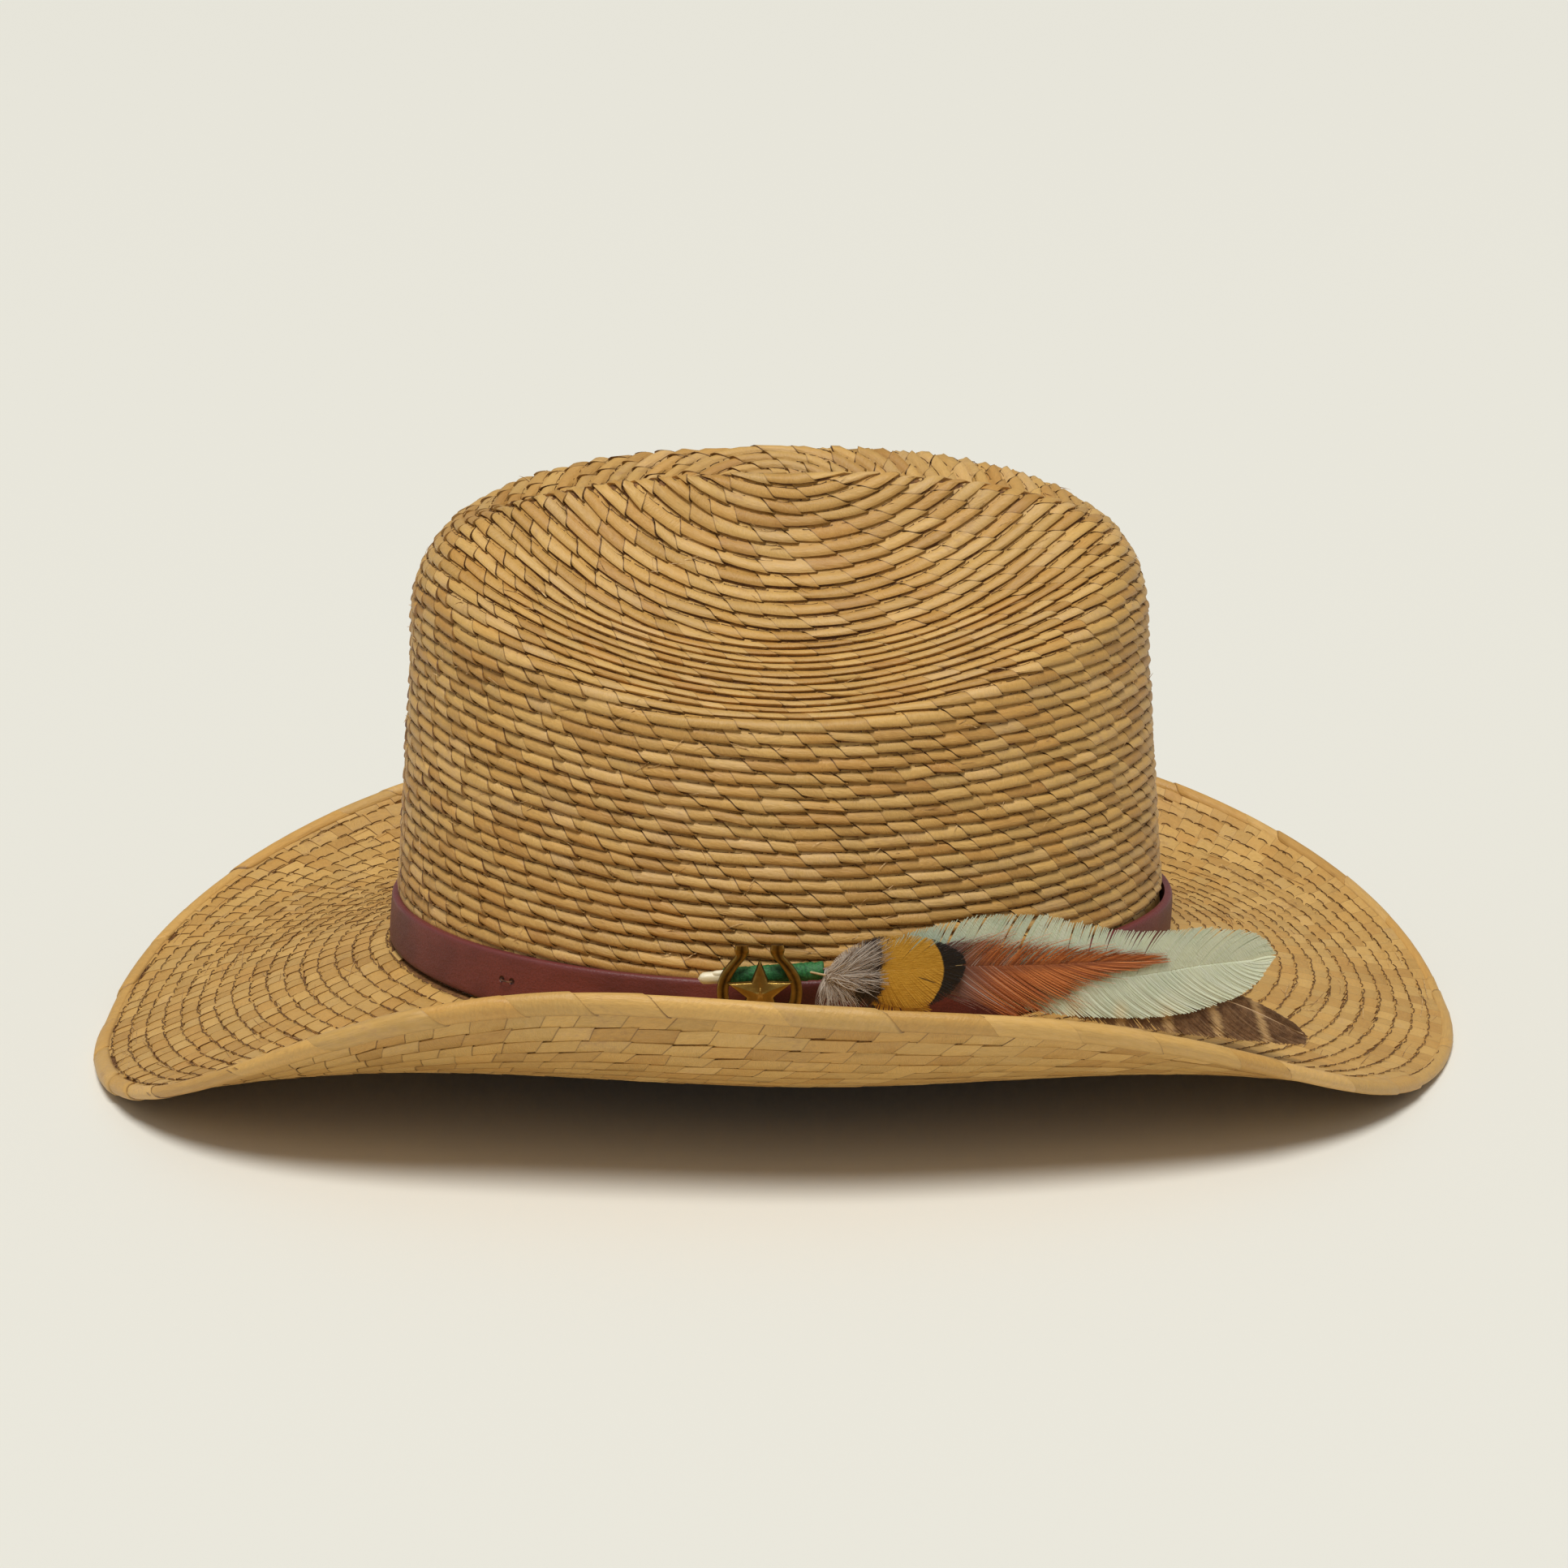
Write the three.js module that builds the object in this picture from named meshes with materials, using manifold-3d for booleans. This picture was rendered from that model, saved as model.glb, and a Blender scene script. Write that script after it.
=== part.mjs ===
// Western straw hat with a dented crown, rolled brim, leather hatband and a feathered horseshoe pin.
// Millimetres, +Z up, -X front of the hat, +X back, -Y the wearer's left. The hat rests on z = 0.
// Every piece of the hat body is laid out flat, as it would be cut or wound, and then blocked onto
// the shape of the hat: the distance from the centre becomes the distance run over the surface.
import * as THREE from "three";
import Module from "manifold-3d";

// ---- driving dimensions -------------------------------------------------------------------------
const HEAD_A = 102; // half length of the crown where it meets the brim
const HEAD_B = 83.5; // half width there
const BREAK_Z = 23.7; // mean height of the line where crown and brim meet
const BREAK_SADDLE = 2.5; // that line is this much higher at the ends and lower at the sides
const TOP_A = 96; // half length of the crown at the shoulder
const TOP_B = 78; // half width there
const TOP_Z = 152.7; // height of the crown before it is dented
const DOME = 49; // height of the rounded part of the crown
const DOME_POWER = 3; // how square the shoulder is
const BRIM_END = 83; // brim width at the front and back
const BRIM_SIDE = 80.2; // brim width at the sides, measured over the roll
const BRIM_SKEW = 4; // the brim is this much wider at the back right and narrower at the front right
const END_SLOPE = -14.6; // brim slope at the front and back, degrees
const SIDE_FLAT = 28; // flat part of the brim before the side roll starts
const NEAR_ROLL = 60.5; // brim slope at the rolled edge on the left, degrees
const FAR_ROLL = 79.5; // and on the right
const SWAY = [[-2.4, -3.7], [-4.9, 3], [2.9, 2]]; // hand-shaped sway of the edge: degrees of one, two and three waves
const ROLL_POWER = 1.1;
const NEAR_LIFT = [3.45, 1.96]; // how the roll starts along the left side
const FAR_LIFT = [1.34, 0.96]; // and along the right side
const DENT = 36; // depth of the side dents
const DENT_LENGTH = 85.5; // half length of a dent
const DENT_FALL = 55; // direction of the dent below level, degrees
const DENT_POWER = 1.75;
const DENT_BIAS = 0.87; // below one, the dent is deepest nearer its ridge than its lower fold
const RIDGE_Y = 22.6; // half distance between the two ridges
const SHELF = 78.5; // section angle of the lower fold, degrees
const FOLD_REACH = 0.3; // height of the dent at its ends, as a share of the middle
const SOFTNESS = 0.07; // roundness of the ridges and folds
const CREASE = 18; // depth of the centre crease
const CREASE_LENGTH = 84;
const SHELL = 2; // thickness of the sewn braid
const GAP = 0.3; // play between pieces that touch
const AROUND = 52; // facets round the hat

const BAND_WIDTH = 13.6;
const BAND_THICK = 2;
const BAND_START = 0.6; // height of the band's lower edge above the brim line
const BAND_LIFT = 1.8; // how far the band stands off the crown near the back left
const SWEAT_WIDTH = 34;
const SWEAT_THICK = 0.8;
const SWEAT_BULGE = 2.6; // room over the pin clutch
const REED_R = 0.8;
const WIRE_R = 0.55;
const EDGE_WALL = 0.7; // thickness of the folded last row
const CHANNEL_R = 1.3; // half height of the fold's inside
const FERRULE = [0.8, 1.05]; // inner and outer radius

const PIN_X = -9.8;
const PIN_Z = 36.5; // centre of the horseshoe bow
const PIN_Y = -92.1; // back face of the horseshoe
const PIN_THICK = 1.5;
const SHOE_R = 10.4;
const POST_Z = 28.4;
const POST_R = 0.5;
const CLUTCH_R = 3.2;
const CLUTCH_Y = [-79.6, -76.2];
const STAR_R = 8.2;
const WRAP_FROM = [-18.6, -89.5, 39.5];
const WRAP_TO = [6, -89.5, 40.8];
const WRAP_R = [1.75, 2.35];

const rad = Math.PI / 180;
const clamp = (x, a, b) => Math.min(Math.max(x, a), b);
const wasm = await Module();
wasm.setup();

// ---- the crown surface --------------------------------------------------------------------------
const SHOULDER_Z = TOP_Z - DOME;
const SHOULDER_T = 0.62; // share of the profile parameter that the rounded part takes

// Meridian of the undented crown: share of the full radius, half length, half width and height.
function meridian(t) {
  const bend = (clamp(t / SHOULDER_T, 0, 1) * Math.PI) / 2;
  const s = Math.sin(bend);
  const c = Math.cos(bend);
  const size = Math.pow(Math.pow(s, DOME_POWER) + Math.pow(c, DOME_POWER), 1 / DOME_POWER);
  const wall = Math.max((t - SHOULDER_T) / (1 - SHOULDER_T), 0);
  const spread = Math.min(wall, 1);
  return {
    share: s / size,
    a: TOP_A + (HEAD_A - TOP_A) * spread,
    b: TOP_B + (HEAD_B - TOP_B) * spread,
    z: wall > 0 ? SHOULDER_Z + (BREAK_Z - SHOULDER_Z) * wall : SHOULDER_Z + (DOME * c) / size,
    wall,
  };
}

// Distance run down the mean meridian, tabulated once, and its inverse.
const STEPS = 600;
const run = [0];
for (let i = 1; i <= STEPS; i++) {
  const p = meridian((i - 1) / STEPS);
  const q = meridian(i / STEPS);
  const dr = ((q.a + q.b) * q.share - (p.a + p.b) * p.share) / 2;
  run.push(run[i - 1] + Math.hypot(dr, q.z - p.z));
}
const CROWN_RUN = run[STEPS];
function atRun(v) {
  if (v >= CROWN_RUN) return 1 + (v - CROWN_RUN) / ((SHOULDER_Z - BREAK_Z) / (1 - SHOULDER_T));
  let i = 1;
  while (run[i] < v) i++;
  return (i - 1 + (v - run[i - 1]) / (run[i] - run[i - 1])) / STEPS;
}

function breakZ(u) {
  return BREAK_Z + BREAK_SADDLE * Math.cos(2 * u);
}

function crownPoint(u, v) {
  const m = meridian(atRun(Math.max(v, 0)));
  const x = m.a * m.share * Math.cos(u);
  const y = m.b * m.share * Math.sin(u);
  const z = m.z + BREAK_SADDLE * Math.cos(2 * u) * Math.pow(Math.min(m.wall, 1), 3);
  // the dents: angle of the point in its cross-section, from the top
  const floor = SHOULDER_Z - 20;
  const section = Math.atan2(Math.abs(y) / TOP_B, (z - floor) / (TOP_Z - floor)) / rad;
  const ridge = Math.atan2(RIDGE_Y / TOP_B, 1) / rad;
  const along = clamp(1 - (x / DENT_LENGTH) ** 2, 0, 1);
  const fold = ridge + (SHELF - ridge) * (FOLD_REACH + (1 - FOLD_REACH) * Math.sqrt(along));
  const q = Math.pow(clamp((section - ridge) / (fold - ridge), 0, 1), DENT_BIAS);
  const half = 0.5 - Math.min(q, 1 - q);
  const eased = 0.5 - (0.5 - half) ** 2 / (0.5 - half + SOFTNESS);
  const push = DENT * Math.pow(along, 1.1) * (1 - Math.pow(2 * eased, DENT_POWER));
  const valley = Math.max(1 - Math.hypot(section, 3) / ridge, 0);
  const crease = CREASE * clamp(1 - (x / CREASE_LENGTH) ** 2, 0, 1) * Math.pow(valley, 1.2);
  return new THREE.Vector3(
    x,
    y - Math.sign(y) * push * Math.cos(DENT_FALL * rad),
    z - push * Math.sin(DENT_FALL * rad) - crease,
  );
}

function crownNormal(u, v) {
  const w = Math.max(v, 3);
  const du = crownPoint(u + 0.012, w).sub(crownPoint(u - 0.012, w));
  const dv = crownPoint(u, w + 1).sub(crownPoint(u, w - 1));
  return dv.cross(du).normalize();
}

// Point of the crown at run v, height h over the surface.
function onCrown(u, v, h) {
  return crownPoint(u, v).addScaledVector(crownNormal(u, v), h);
}

// ---- the brim surface ---------------------------------------------------------------------------
function lift(u) {
  const s = Math.sin(u);
  const [a, b] = s > 0 ? FAR_LIFT : NEAR_LIFT;
  return 1 - Math.pow(1 - Math.pow(Math.min(Math.abs(s), 1), a), b);
}

function brimWidth(u) {
  return BRIM_END + (BRIM_SIDE - BRIM_END) * Math.sin(u) ** 2 + BRIM_SKEW * Math.sin(2 * u);
}

function brimSlope(u, d) {
  const up = clamp((d - SIDE_FLAT) / (brimWidth(u) - SIDE_FLAT), 0, 1.2);
  const roll = Math.sin(u) > 0 ? FAR_ROLL : NEAR_ROLL;
  let sway = 0;
  SWAY.forEach(([a, b], i) => (sway += a * Math.cos((i + 1) * u) + b * Math.sin((i + 1) * u)));
  return (END_SLOPE * (1 - lift(u)) + roll * Math.pow(up, ROLL_POWER) * lift(u) + (sway * d) / brimWidth(u)) * rad;
}

// Point of the brim a distance d out from the crown, height h over its top face.
function onBrim(u, d, h) {
  const nx = Math.cos(u) / HEAD_A;
  const ny = Math.sin(u) / HEAD_B;
  const n = Math.hypot(nx, ny);
  const steps = 40;
  let r = 0;
  let z = breakZ(u);
  for (let i = 0; i < steps; i++) {
    const a = brimSlope(u, (d * (i + 0.5)) / steps);
    r += (Math.cos(a) * d) / steps;
    z += (Math.sin(a) * d) / steps;
  }
  const end = brimSlope(u, d);
  r -= Math.sin(end) * h;
  z += Math.cos(end) * h;
  return new THREE.Vector3(HEAD_A * Math.cos(u) + (nx / n) * r, HEAD_B * Math.sin(u) + (ny / n) * r, z);
}

// ---- helpers ------------------------------------------------------------------------------------
const group = new THREE.Group();
function piece(name, geometry, color) {
  const material = new THREE.MeshStandardMaterial({ color, side: THREE.DoubleSide });
  const mesh = new THREE.Mesh(geometry, material);
  mesh.name = name;
  group.add(mesh);
  return mesh;
}

// A closed profile [out, up] turned into a flat ring, then moved vertex by vertex by place(u, out, up).
function blocked(profile, place) {
  const flat = new THREE.LatheGeometry(
    profile.map(([r, h]) => new THREE.Vector2(r, h)),
    AROUND,
  );
  const at = flat.getAttribute("position");
  for (let i = 0; i < at.count; i++) {
    const out = Math.hypot(at.getX(i), at.getZ(i));
    const u = out < 1e-6 ? 0 : Math.atan2(-at.getZ(i), at.getX(i));
    const p = place(u, out, at.getY(i));
    at.setXYZ(i, p.x, p.y, p.z);
  }
  return flat;
}

function toSolid(geometry) {
  const g = geometry.index ? geometry.toNonIndexed() : geometry;
  const at = g.getAttribute("position");
  const key = new Map();
  const vertices = [];
  const faces = [];
  for (let i = 0; i < at.count; i++) {
    const p = [at.getX(i), at.getY(i), at.getZ(i)];
    const k = p.map((c) => Math.round(c * 2000)).join(",");
    if (!key.has(k)) {
      key.set(k, vertices.length / 3);
      vertices.push(...p);
    }
    faces.push(key.get(k));
  }
  const kept = [];
  for (let i = 0; i < faces.length; i += 3) {
    const [a, b, c] = faces.slice(i, i + 3);
    if (a !== b && b !== c && a !== c) kept.push(a, b, c);
  }
  return new wasm.Manifold(
    new wasm.Mesh({
      numProp: 3,
      vertProperties: new Float32Array(vertices),
      triVerts: new Uint32Array(kept),
    }),
  );
}

function toGeometry(solid) {
  const m = solid.getMesh();
  const at = new Float32Array(m.numVert * 3);
  for (let i = 0; i < m.numVert; i++) {
    for (let k = 0; k < 3; k++) at[3 * i + k] = m.vertProperties[i * m.numProp + k];
  }
  return new THREE.BufferGeometry()
    .setAttribute("position", new THREE.BufferAttribute(at, 3))
    .setIndex(new THREE.BufferAttribute(m.triVerts, 1));
}

const unite = (a, b) => toGeometry(toSolid(a).add(toSolid(b)));
const carve = (a, b) => toGeometry(toSolid(a).subtract(toSolid(b)));

function rodY(r, x, z, from, to, sides = 12) {
  return new THREE.CylinderGeometry(r, r, Math.abs(to - from), sides).translate(x, (from + to) / 2, z);
}

// Round rod along a smooth path.
function rod(points, r, sides, steps) {
  const path = new THREE.CatmullRomCurve3(points.map((p) => new THREE.Vector3(...p)));
  const round = new THREE.Shape();
  for (let i = 0; i < sides; i++) {
    const a = (i * 2 * Math.PI) / sides;
    if (i) round.lineTo(r * Math.cos(a), r * Math.sin(a));
    else round.moveTo(r, 0);
  }
  round.closePath();
  return new THREE.ExtrudeGeometry(round, { steps, extrudePath: path });
}

// A flat shape drawn in x and z, given thickness along y from y0 towards the left side.
function plate(shape, y0, thick, bevel = 0) {
  const g = new THREE.ExtrudeGeometry(shape, {
    depth: thick - 2 * bevel,
    bevelEnabled: bevel > 0,
    bevelThickness: bevel,
    bevelSize: bevel,
    bevelOffset: -bevel,
    bevelSegments: 1,
    curveSegments: 6,
  });
  return g.rotateX(Math.PI / 2).translate(0, y0 - bevel, 0);
}

function outline(points, smooth) {
  const at = points.map((p) => new THREE.Vector2(...p));
  if (!smooth) return new THREE.Shape(at);
  const curve = new THREE.CatmullRomCurve3(at.map((p) => new THREE.Vector3(p.x, p.y, 0)), true);
  return new THREE.Shape(curve.getPoints(smooth).slice(0, smooth).map((p) => new THREE.Vector2(p.x, p.y)));
}

// ---- crown: one spiral of braid from the tip down to the brim -------------------------------------
const outer = [];
const inner = [];
const rowRun = (share) => (CROWN_RUN + SHELL - GAP) * (0.55 * share + 0.45 * share ** 2);
for (let i = 0; i <= 20; i++) outer.push([rowRun(i / 20), 0]);
for (let i = 14; i >= 0; i--) inner.push([rowRun(i / 14), -SHELL]);
const crownFlat = blocked([...inner.reverse(), ...outer.reverse()], onCrown);
const postHole = rodY(0.85, PIN_X, POST_Z, -95, -70);
piece("crown", carve(crownFlat, postHole), 0xcfa467);

// ---- brim: the same braid carried on outward -------------------------------------------------------
const brimSteps = [];
const EDGE_START = 5; // the folded row covers this much of the brim
const BRIM_STOP = 3.4;
for (let i = 0; i <= 9; i++) brimSteps.push(1 - Math.pow(1 - i / 9, 1.35));
const onBrimShare = (u, out, up) => {
  const share = (out - 10) / 100;
  const start = GAP + SHELL * Math.sin(Math.max(-brimSlope(u, 0), 0));
  return onBrim(u, start + share * (brimWidth(u) - BRIM_STOP - start), up);
};
const brimTop = brimSteps.map((s) => [10 + 100 * s, 0]);
const brimUnder = [...brimTop].reverse().map(([r]) => [r, -SHELL]);
const ring = [...brimUnder.reverse(), ...[...brimTop].reverse()];
piece("brim", blocked([...ring, ring[0]], onBrimShare), 0xd3a96c);

// ---- brim edge: last row folded over a wire ---------------------------------------------------------
// profile measured back from the edge: distance in from the edge and height over the middle
const fold = [];
const half = CHANNEL_R + EDGE_WALL;
for (let i = 0; i <= 6; i++) {
  const a = (90 - 30 * i) * rad;
  fold.push([-half + half * Math.cos(a), half * Math.sin(a)]);
}
fold.push([-EDGE_START, -half]);
fold.push([-EDGE_START, -CHANNEL_R]);
for (let i = 4; i >= 0; i--) {
  const a = (90 - 45 * i) * rad;
  fold.push([-half + CHANNEL_R * Math.cos(a), CHANNEL_R * Math.sin(a)]);
}
fold.push([-EDGE_START, CHANNEL_R]);
fold.push([-EDGE_START, half]);
const foldRing = fold.reverse().map(([x, h]) => [50 + x, h]);
const onFold = (u, out, up) => {
  const p = onBrim(u, brimWidth(u) + out - 50, up - SHELL / 2);
  p.z = Math.max(p.z, 0);
  return p;
};
piece("brim_edge", blocked([...foldRing, foldRing[0]], onFold), 0xc2955a);

const onWire = (u, out, up) => onBrim(u, brimWidth(u) - half + out - 50, up - SHELL / 2);
const wireRing = [];
for (let i = 0; i < 6; i++) wireRing.push([50 + WIRE_R * Math.cos(60 * i * rad), WIRE_R * Math.sin(60 * i * rad)]);
piece("brim_wire", blocked([...wireRing, wireRing[0]], onWire), 0x8c9094);

// ferrule: a short tube over the ends of the wire, on one facet of the ring
const firstFacet = 4;
const ferruleRing = (r, index) => {
  const points = [];
  const facet = (2 * Math.PI) / AROUND;
  for (let i = 0; i < 10; i++) {
    const at = [50 + r * Math.cos(36 * i * rad), r * Math.sin(36 * i * rad)];
    const start = onWire(firstFacet * facet, ...at);
    points.push(start.lerp(onWire((firstFacet + 1) * facet, ...at), index));
  }
  return points;
};
const [bore, skin] = FERRULE;
const loops = [ferruleRing(bore, 0.08), ferruleRing(skin, 0.08), ferruleRing(skin, 0.92), ferruleRing(bore, 0.92)];
const ferruleFaces = [];
for (let k = 0; k < 4; k++) {
  for (let i = 0; i < 10; i++) {
    const j = (i + 1) % 10;
    const next = (k + 1) % 4;
    ferruleFaces.push(loops[k][i], loops[next][i], loops[k][j]);
    ferruleFaces.push(loops[k][j], loops[next][i], loops[next][j]);
  }
}
piece("wire_ferrule", new THREE.BufferGeometry().setFromPoints(ferruleFaces), 0xa8a9a6);

// ---- sweatband: leather strip inside, its lower edge turned up round a reed -------------------------
const reedAt = [1.9, -4.4]; // height over the brim line, depth inside the crown
const onInside = (u, out, up) => {
  const height = 60 - out;
  const arc = HEAD_A * (u + Math.PI / 2 + Math.atan2(-PIN_X, HEAD_B) * 0.82);
  const grow = clamp((height - 2.6) / 3, 0, 1);
  const bulge = SWEAT_BULGE * Math.exp(-((arc / 11) ** 2)) * grow * clamp((26 - height) / 10, 0, 1);
  return onCrown(u, CROWN_RUN - height, up - bulge);
};
const hook = REED_R + GAP;
const strip = [];
strip.push([3.3, reedAt[1] + hook + SWEAT_THICK], [3.3, reedAt[1] + hook]);
for (let i = 0; i <= 3; i++) {
  const a = (60 * i - 90) * rad;
  strip.push([reedAt[0] - hook * Math.cos(a), reedAt[1] - hook * Math.sin(a)]);
}
strip.push([12, -5.7], [SWEAT_WIDTH, -6.6], [SWEAT_WIDTH, -6.6 - SWEAT_THICK], [12, -5.7 - SWEAT_THICK]);
const skinR = hook + SWEAT_THICK;
for (let i = 3; i >= 0; i--) {
  const a = (60 * i - 90) * rad;
  strip.push([reedAt[0] - skinR * Math.cos(a), reedAt[1] - skinR * Math.sin(a)]);
}
const stripRing = strip.map(([y, h]) => [60 - y, h]);
const closing = (list) => [...list, list[0]];
piece("sweatband", blocked(closing(stripRing), onInside), 0x6b4a33);

const reedRing = [];
for (let i = 0; i < 6; i++) {
  const a = 60 * i * rad;
  reedRing.push([60 - reedAt[0] + REED_R * Math.cos(a), reedAt[1] + REED_R * Math.sin(a)]);
}
piece("sweatband_reed", blocked(closing(reedRing), onInside), 0xd9cfae);

// small ribbon bow at the back seam of the sweatband
const bowAt = onInside(0, 60 - 9, -6.9 - SWEAT_THICK);
const bowHalf = [[0.9, 0.9], [6.5, 2.9], [5.6, 0], [6.5, -2.9], [0.9, -0.9]];
const bowShape = outline([...bowHalf, ...bowHalf.map(([x, y]) => [-x, -y])]);
const bow = new THREE.ExtrudeGeometry(bowShape, { depth: 0.7, bevelEnabled: false });
const knot = new THREE.BoxGeometry(2.6, 2.6, 1.3).translate(0, 0, 0.45);
const bowSolid = unite(bow, knot);
bowSolid.rotateX(Math.PI / 2).rotateZ(-Math.PI / 2).translate(bowAt.x - 0.4, bowAt.y, bowAt.z);
piece("sweatband_bow", bowSolid, 0x2b2320);

// ---- hatband ------------------------------------------------------------------------------------------
const onBand = (u, out, up) => {
  const back = Math.atan2(Math.sin(u + 0.3), Math.cos(u + 0.3));
  const off = BAND_LIFT * Math.exp(-((back / 0.3) ** 2)) * clamp((80 - out) / 12, 0, 1);
  return onCrown(u, CROWN_RUN + out - 80, up + off);
};
const bandIn = GAP;
const bandOut = GAP + BAND_THICK;
const low = 80 - BAND_START;
const high = 80 - BAND_START - BAND_WIDTH;
const bandRing = [
  [high + 0.4, bandIn],
  [low, bandIn],
  [low, bandOut - 0.4],
  [low - 0.4, bandOut],
  [high + 0.6, bandOut],
  [high, bandOut - 0.6],
  [high, bandIn + 0.4],
];
let band = blocked(closing(bandRing), onBand);
const tackAt = [226, 314, 46, 134]; // degrees round the hat
const TACK_HEIGHT = 7.4;
const TACK_SPREAD = 0.017;
const pierced = [postHole];
for (const deg of tackAt) {
  for (const side of [-1, 1]) {
    const u = deg * rad + side * TACK_SPREAD;
    const a = onCrown(u, CROWN_RUN - TACK_HEIGHT, 0.05);
    const b = onCrown(u, CROWN_RUN - TACK_HEIGHT, 6);
    pierced.push(rod([a.toArray(), b.toArray()], 0.65, 8, 1));
  }
}
for (const hole of pierced) band = carve(band, hole);
piece("hatband", band, 0x6a2f2a);

// thread tacks: a stitch over the band through two holes
tackAt.forEach((deg, index) => {
  const at = (side, h) => onBand(deg * rad + side * TACK_SPREAD, 80 - TACK_HEIGHT, h).toArray();
  const leg = [[1, 0.5], [1, 1.7], [1, 2.75], [0.72, 3.2]];
  const path = [...leg.map(([s, h]) => at(-s, h)), at(0, 3.3), ...leg.reverse().map(([s, h]) => at(s, h))];
  piece("hatband_tack_" + (index + 1), rod(path, 0.22, 5, 10), 0x4a3423);
});

// ---- horseshoe pin ----------------------------------------------------------------------------------------
const shoeOuter = [
  [0, -10.4], [4, -9.6], [7.6, -7.1], [9.9, -3.3], [10.4, 0.6], [9.6, 4.2],
  [7.6, 7.2], [5.9, 9.2], [5.7, 10.6], [5.6, 12],
];
const shoeInner = [
  [2.9, 12], [3, 10.2], [3.6, 8.4], [5.4, 6.2], [7, 3.4], [7.6, 0.4], [7, -2.8], [5, -5.3], [2.4, -6.2], [0, -6.3],
];
const halfShoe = [...shoeOuter, ...shoeInner];
const mirrored = [...halfShoe].slice(1, -1).reverse().map(([x, z]) => [-x, z]);
const shoe = outline([...halfShoe, ...mirrored]);
for (const [x, z] of [[7.1, 5.9], [8.9, 1.2], [8, -3.6]]) {
  for (const side of [-1, 1]) {
    shoe.holes.push(new THREE.Path().absarc(side * x, z, 0.5, 0, 2 * Math.PI, true));
  }
}
const shoeSolid = plate(shoe, 0, PIN_THICK, 0.2).translate(PIN_X, PIN_Y, PIN_Z);
piece("pin_horseshoe", shoeSolid, 0x8a6a33);

const starPoints = [];
for (let i = 0; i < 10; i++) {
  const r = i % 2 ? STAR_R * 0.42 : STAR_R;
  starPoints.push([r * Math.sin(36 * i * rad), 0.2 + r * Math.cos(36 * i * rad)]);
}
const STAR_Y = PIN_Y - PIN_THICK - GAP;
const star = plate(outline(starPoints), 0, 1.2, 0.3).translate(PIN_X, STAR_Y, PIN_Z);
piece("pin_star", star, 0x9c7a3c);

const post = unite(
  rodY(POST_R, PIN_X, POST_Z, PIN_Y + GAP, CLUTCH_Y[1] - 0.2, 10),
  rodY(1.3, PIN_X, POST_Z, PIN_Y + GAP, PIN_Y + 1.5, 10),
);
piece("pin_post", post, 0x8f8358);

let clutch = rodY(CLUTCH_R, PIN_X, POST_Z, CLUTCH_Y[0], CLUTCH_Y[0] + 1.2, 20);
clutch = unite(clutch, rodY(1.8, PIN_X, POST_Z, CLUTCH_Y[0], CLUTCH_Y[1], 14));
for (const side of [-1, 1]) {
  const ear = new THREE.BoxGeometry(2.6, 1.4, 1.6).translate(PIN_X + side * 2.4, CLUTCH_Y[0] + 1.7, POST_Z);
  clutch = unite(clutch, ear);
}
piece("pin_clutch", carve(clutch, rodY(0.8, PIN_X, POST_Z, -90, -60)), 0xb79a5b);

// ---- feathers -----------------------------------------------------------------------------------------------
const wrapLine = (share, dy, dz) => [
  WRAP_FROM[0] + (WRAP_TO[0] - WRAP_FROM[0]) * share,
  WRAP_FROM[1] + dy,
  WRAP_FROM[2] + (WRAP_TO[2] - WRAP_FROM[2]) * share + dz,
];
const wrapPath = [wrapLine(0, 0, 0), wrapLine(0.5, 0, 0), wrapLine(1, 0, 0)];
const wrapBore = rod([wrapLine(-0.1, 0, 0), wrapLine(0.5, 0, 0), wrapLine(1.1, 0, 0)], WRAP_R[0], 14, 1);
piece("quill_wrap", carve(rod(wrapPath, WRAP_R[1], 14, 1), wrapBore), 0x1f6b3a);

// A feather: a quill that starts inside the wrap at an offset, runs out along a rachis in its own
// upright plane, and carries a flat vane. An optional stub is the bare end past the wrap.
function feather(name, color, o) {
  const start = [wrapLine(o.from, ...o.seat), wrapLine(0.5, ...o.seat), wrapLine(1.02, ...o.seat)];
  const rachis = o.rachis.map(([x, z]) => [x, o.plane, z]);
  const quill = rod([...start, ...rachis], o.r, 6, 15);
  const vane = plate(outline(o.vane, o.points), o.plane + 0.22, 0.44);
  let whole = unite(quill, vane);
  if (o.stub) whole = unite(whole, rod(o.stub.map((s) => wrapLine(s, ...o.seat)), o.stubR, 9, 1));
  piece(name, whole, color);
}
feather("feather_mint", 0xc9d8c4, {
  plane: -90.2, seat: [0, 0], from: -0.1, r: 0.5, stub: [-0.25, -0.13, -0.03], stubR: 1.5, points: 40,
  rachis: [[17, 41], [35, 40.1], [58, 38.8], [79, 38.3], [100, 41.1], [114, 42.4]],
  vane: [
    [17, 41.7], [25, 49.4], [42.6, 53.9], [58.5, 54.3], [68.5, 52.1], [83.3, 49.8], [99.9, 50.4],
    [112, 48.8], [116.9, 43.9], [111.7, 35.3], [104, 31.3], [91.2, 28.1], [76, 27.8], [58, 29.6],
    [38, 34.2], [24, 37.8],
  ],
});
feather("feather_barred", 0x7a5a3a, {
  plane: -89.15, seat: [1.12, -0.3], from: 0, r: 0.3, points: 36,
  rachis: [[17, 40.4], [50, 39.2], [80, 36.7], [104.5, 31.8], [124, 23.2]],
  vane: [
    [22, 40.4], [40, 43.2], [62, 43.2], [85, 40.2], [107.7, 33.2], [121, 26.2], [125.6, 22], [123.6, 20],
    [107.7, 21.5], [88.7, 23.9], [70, 27.2], [48, 33.2], [30, 38.2],
  ],
});
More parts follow.
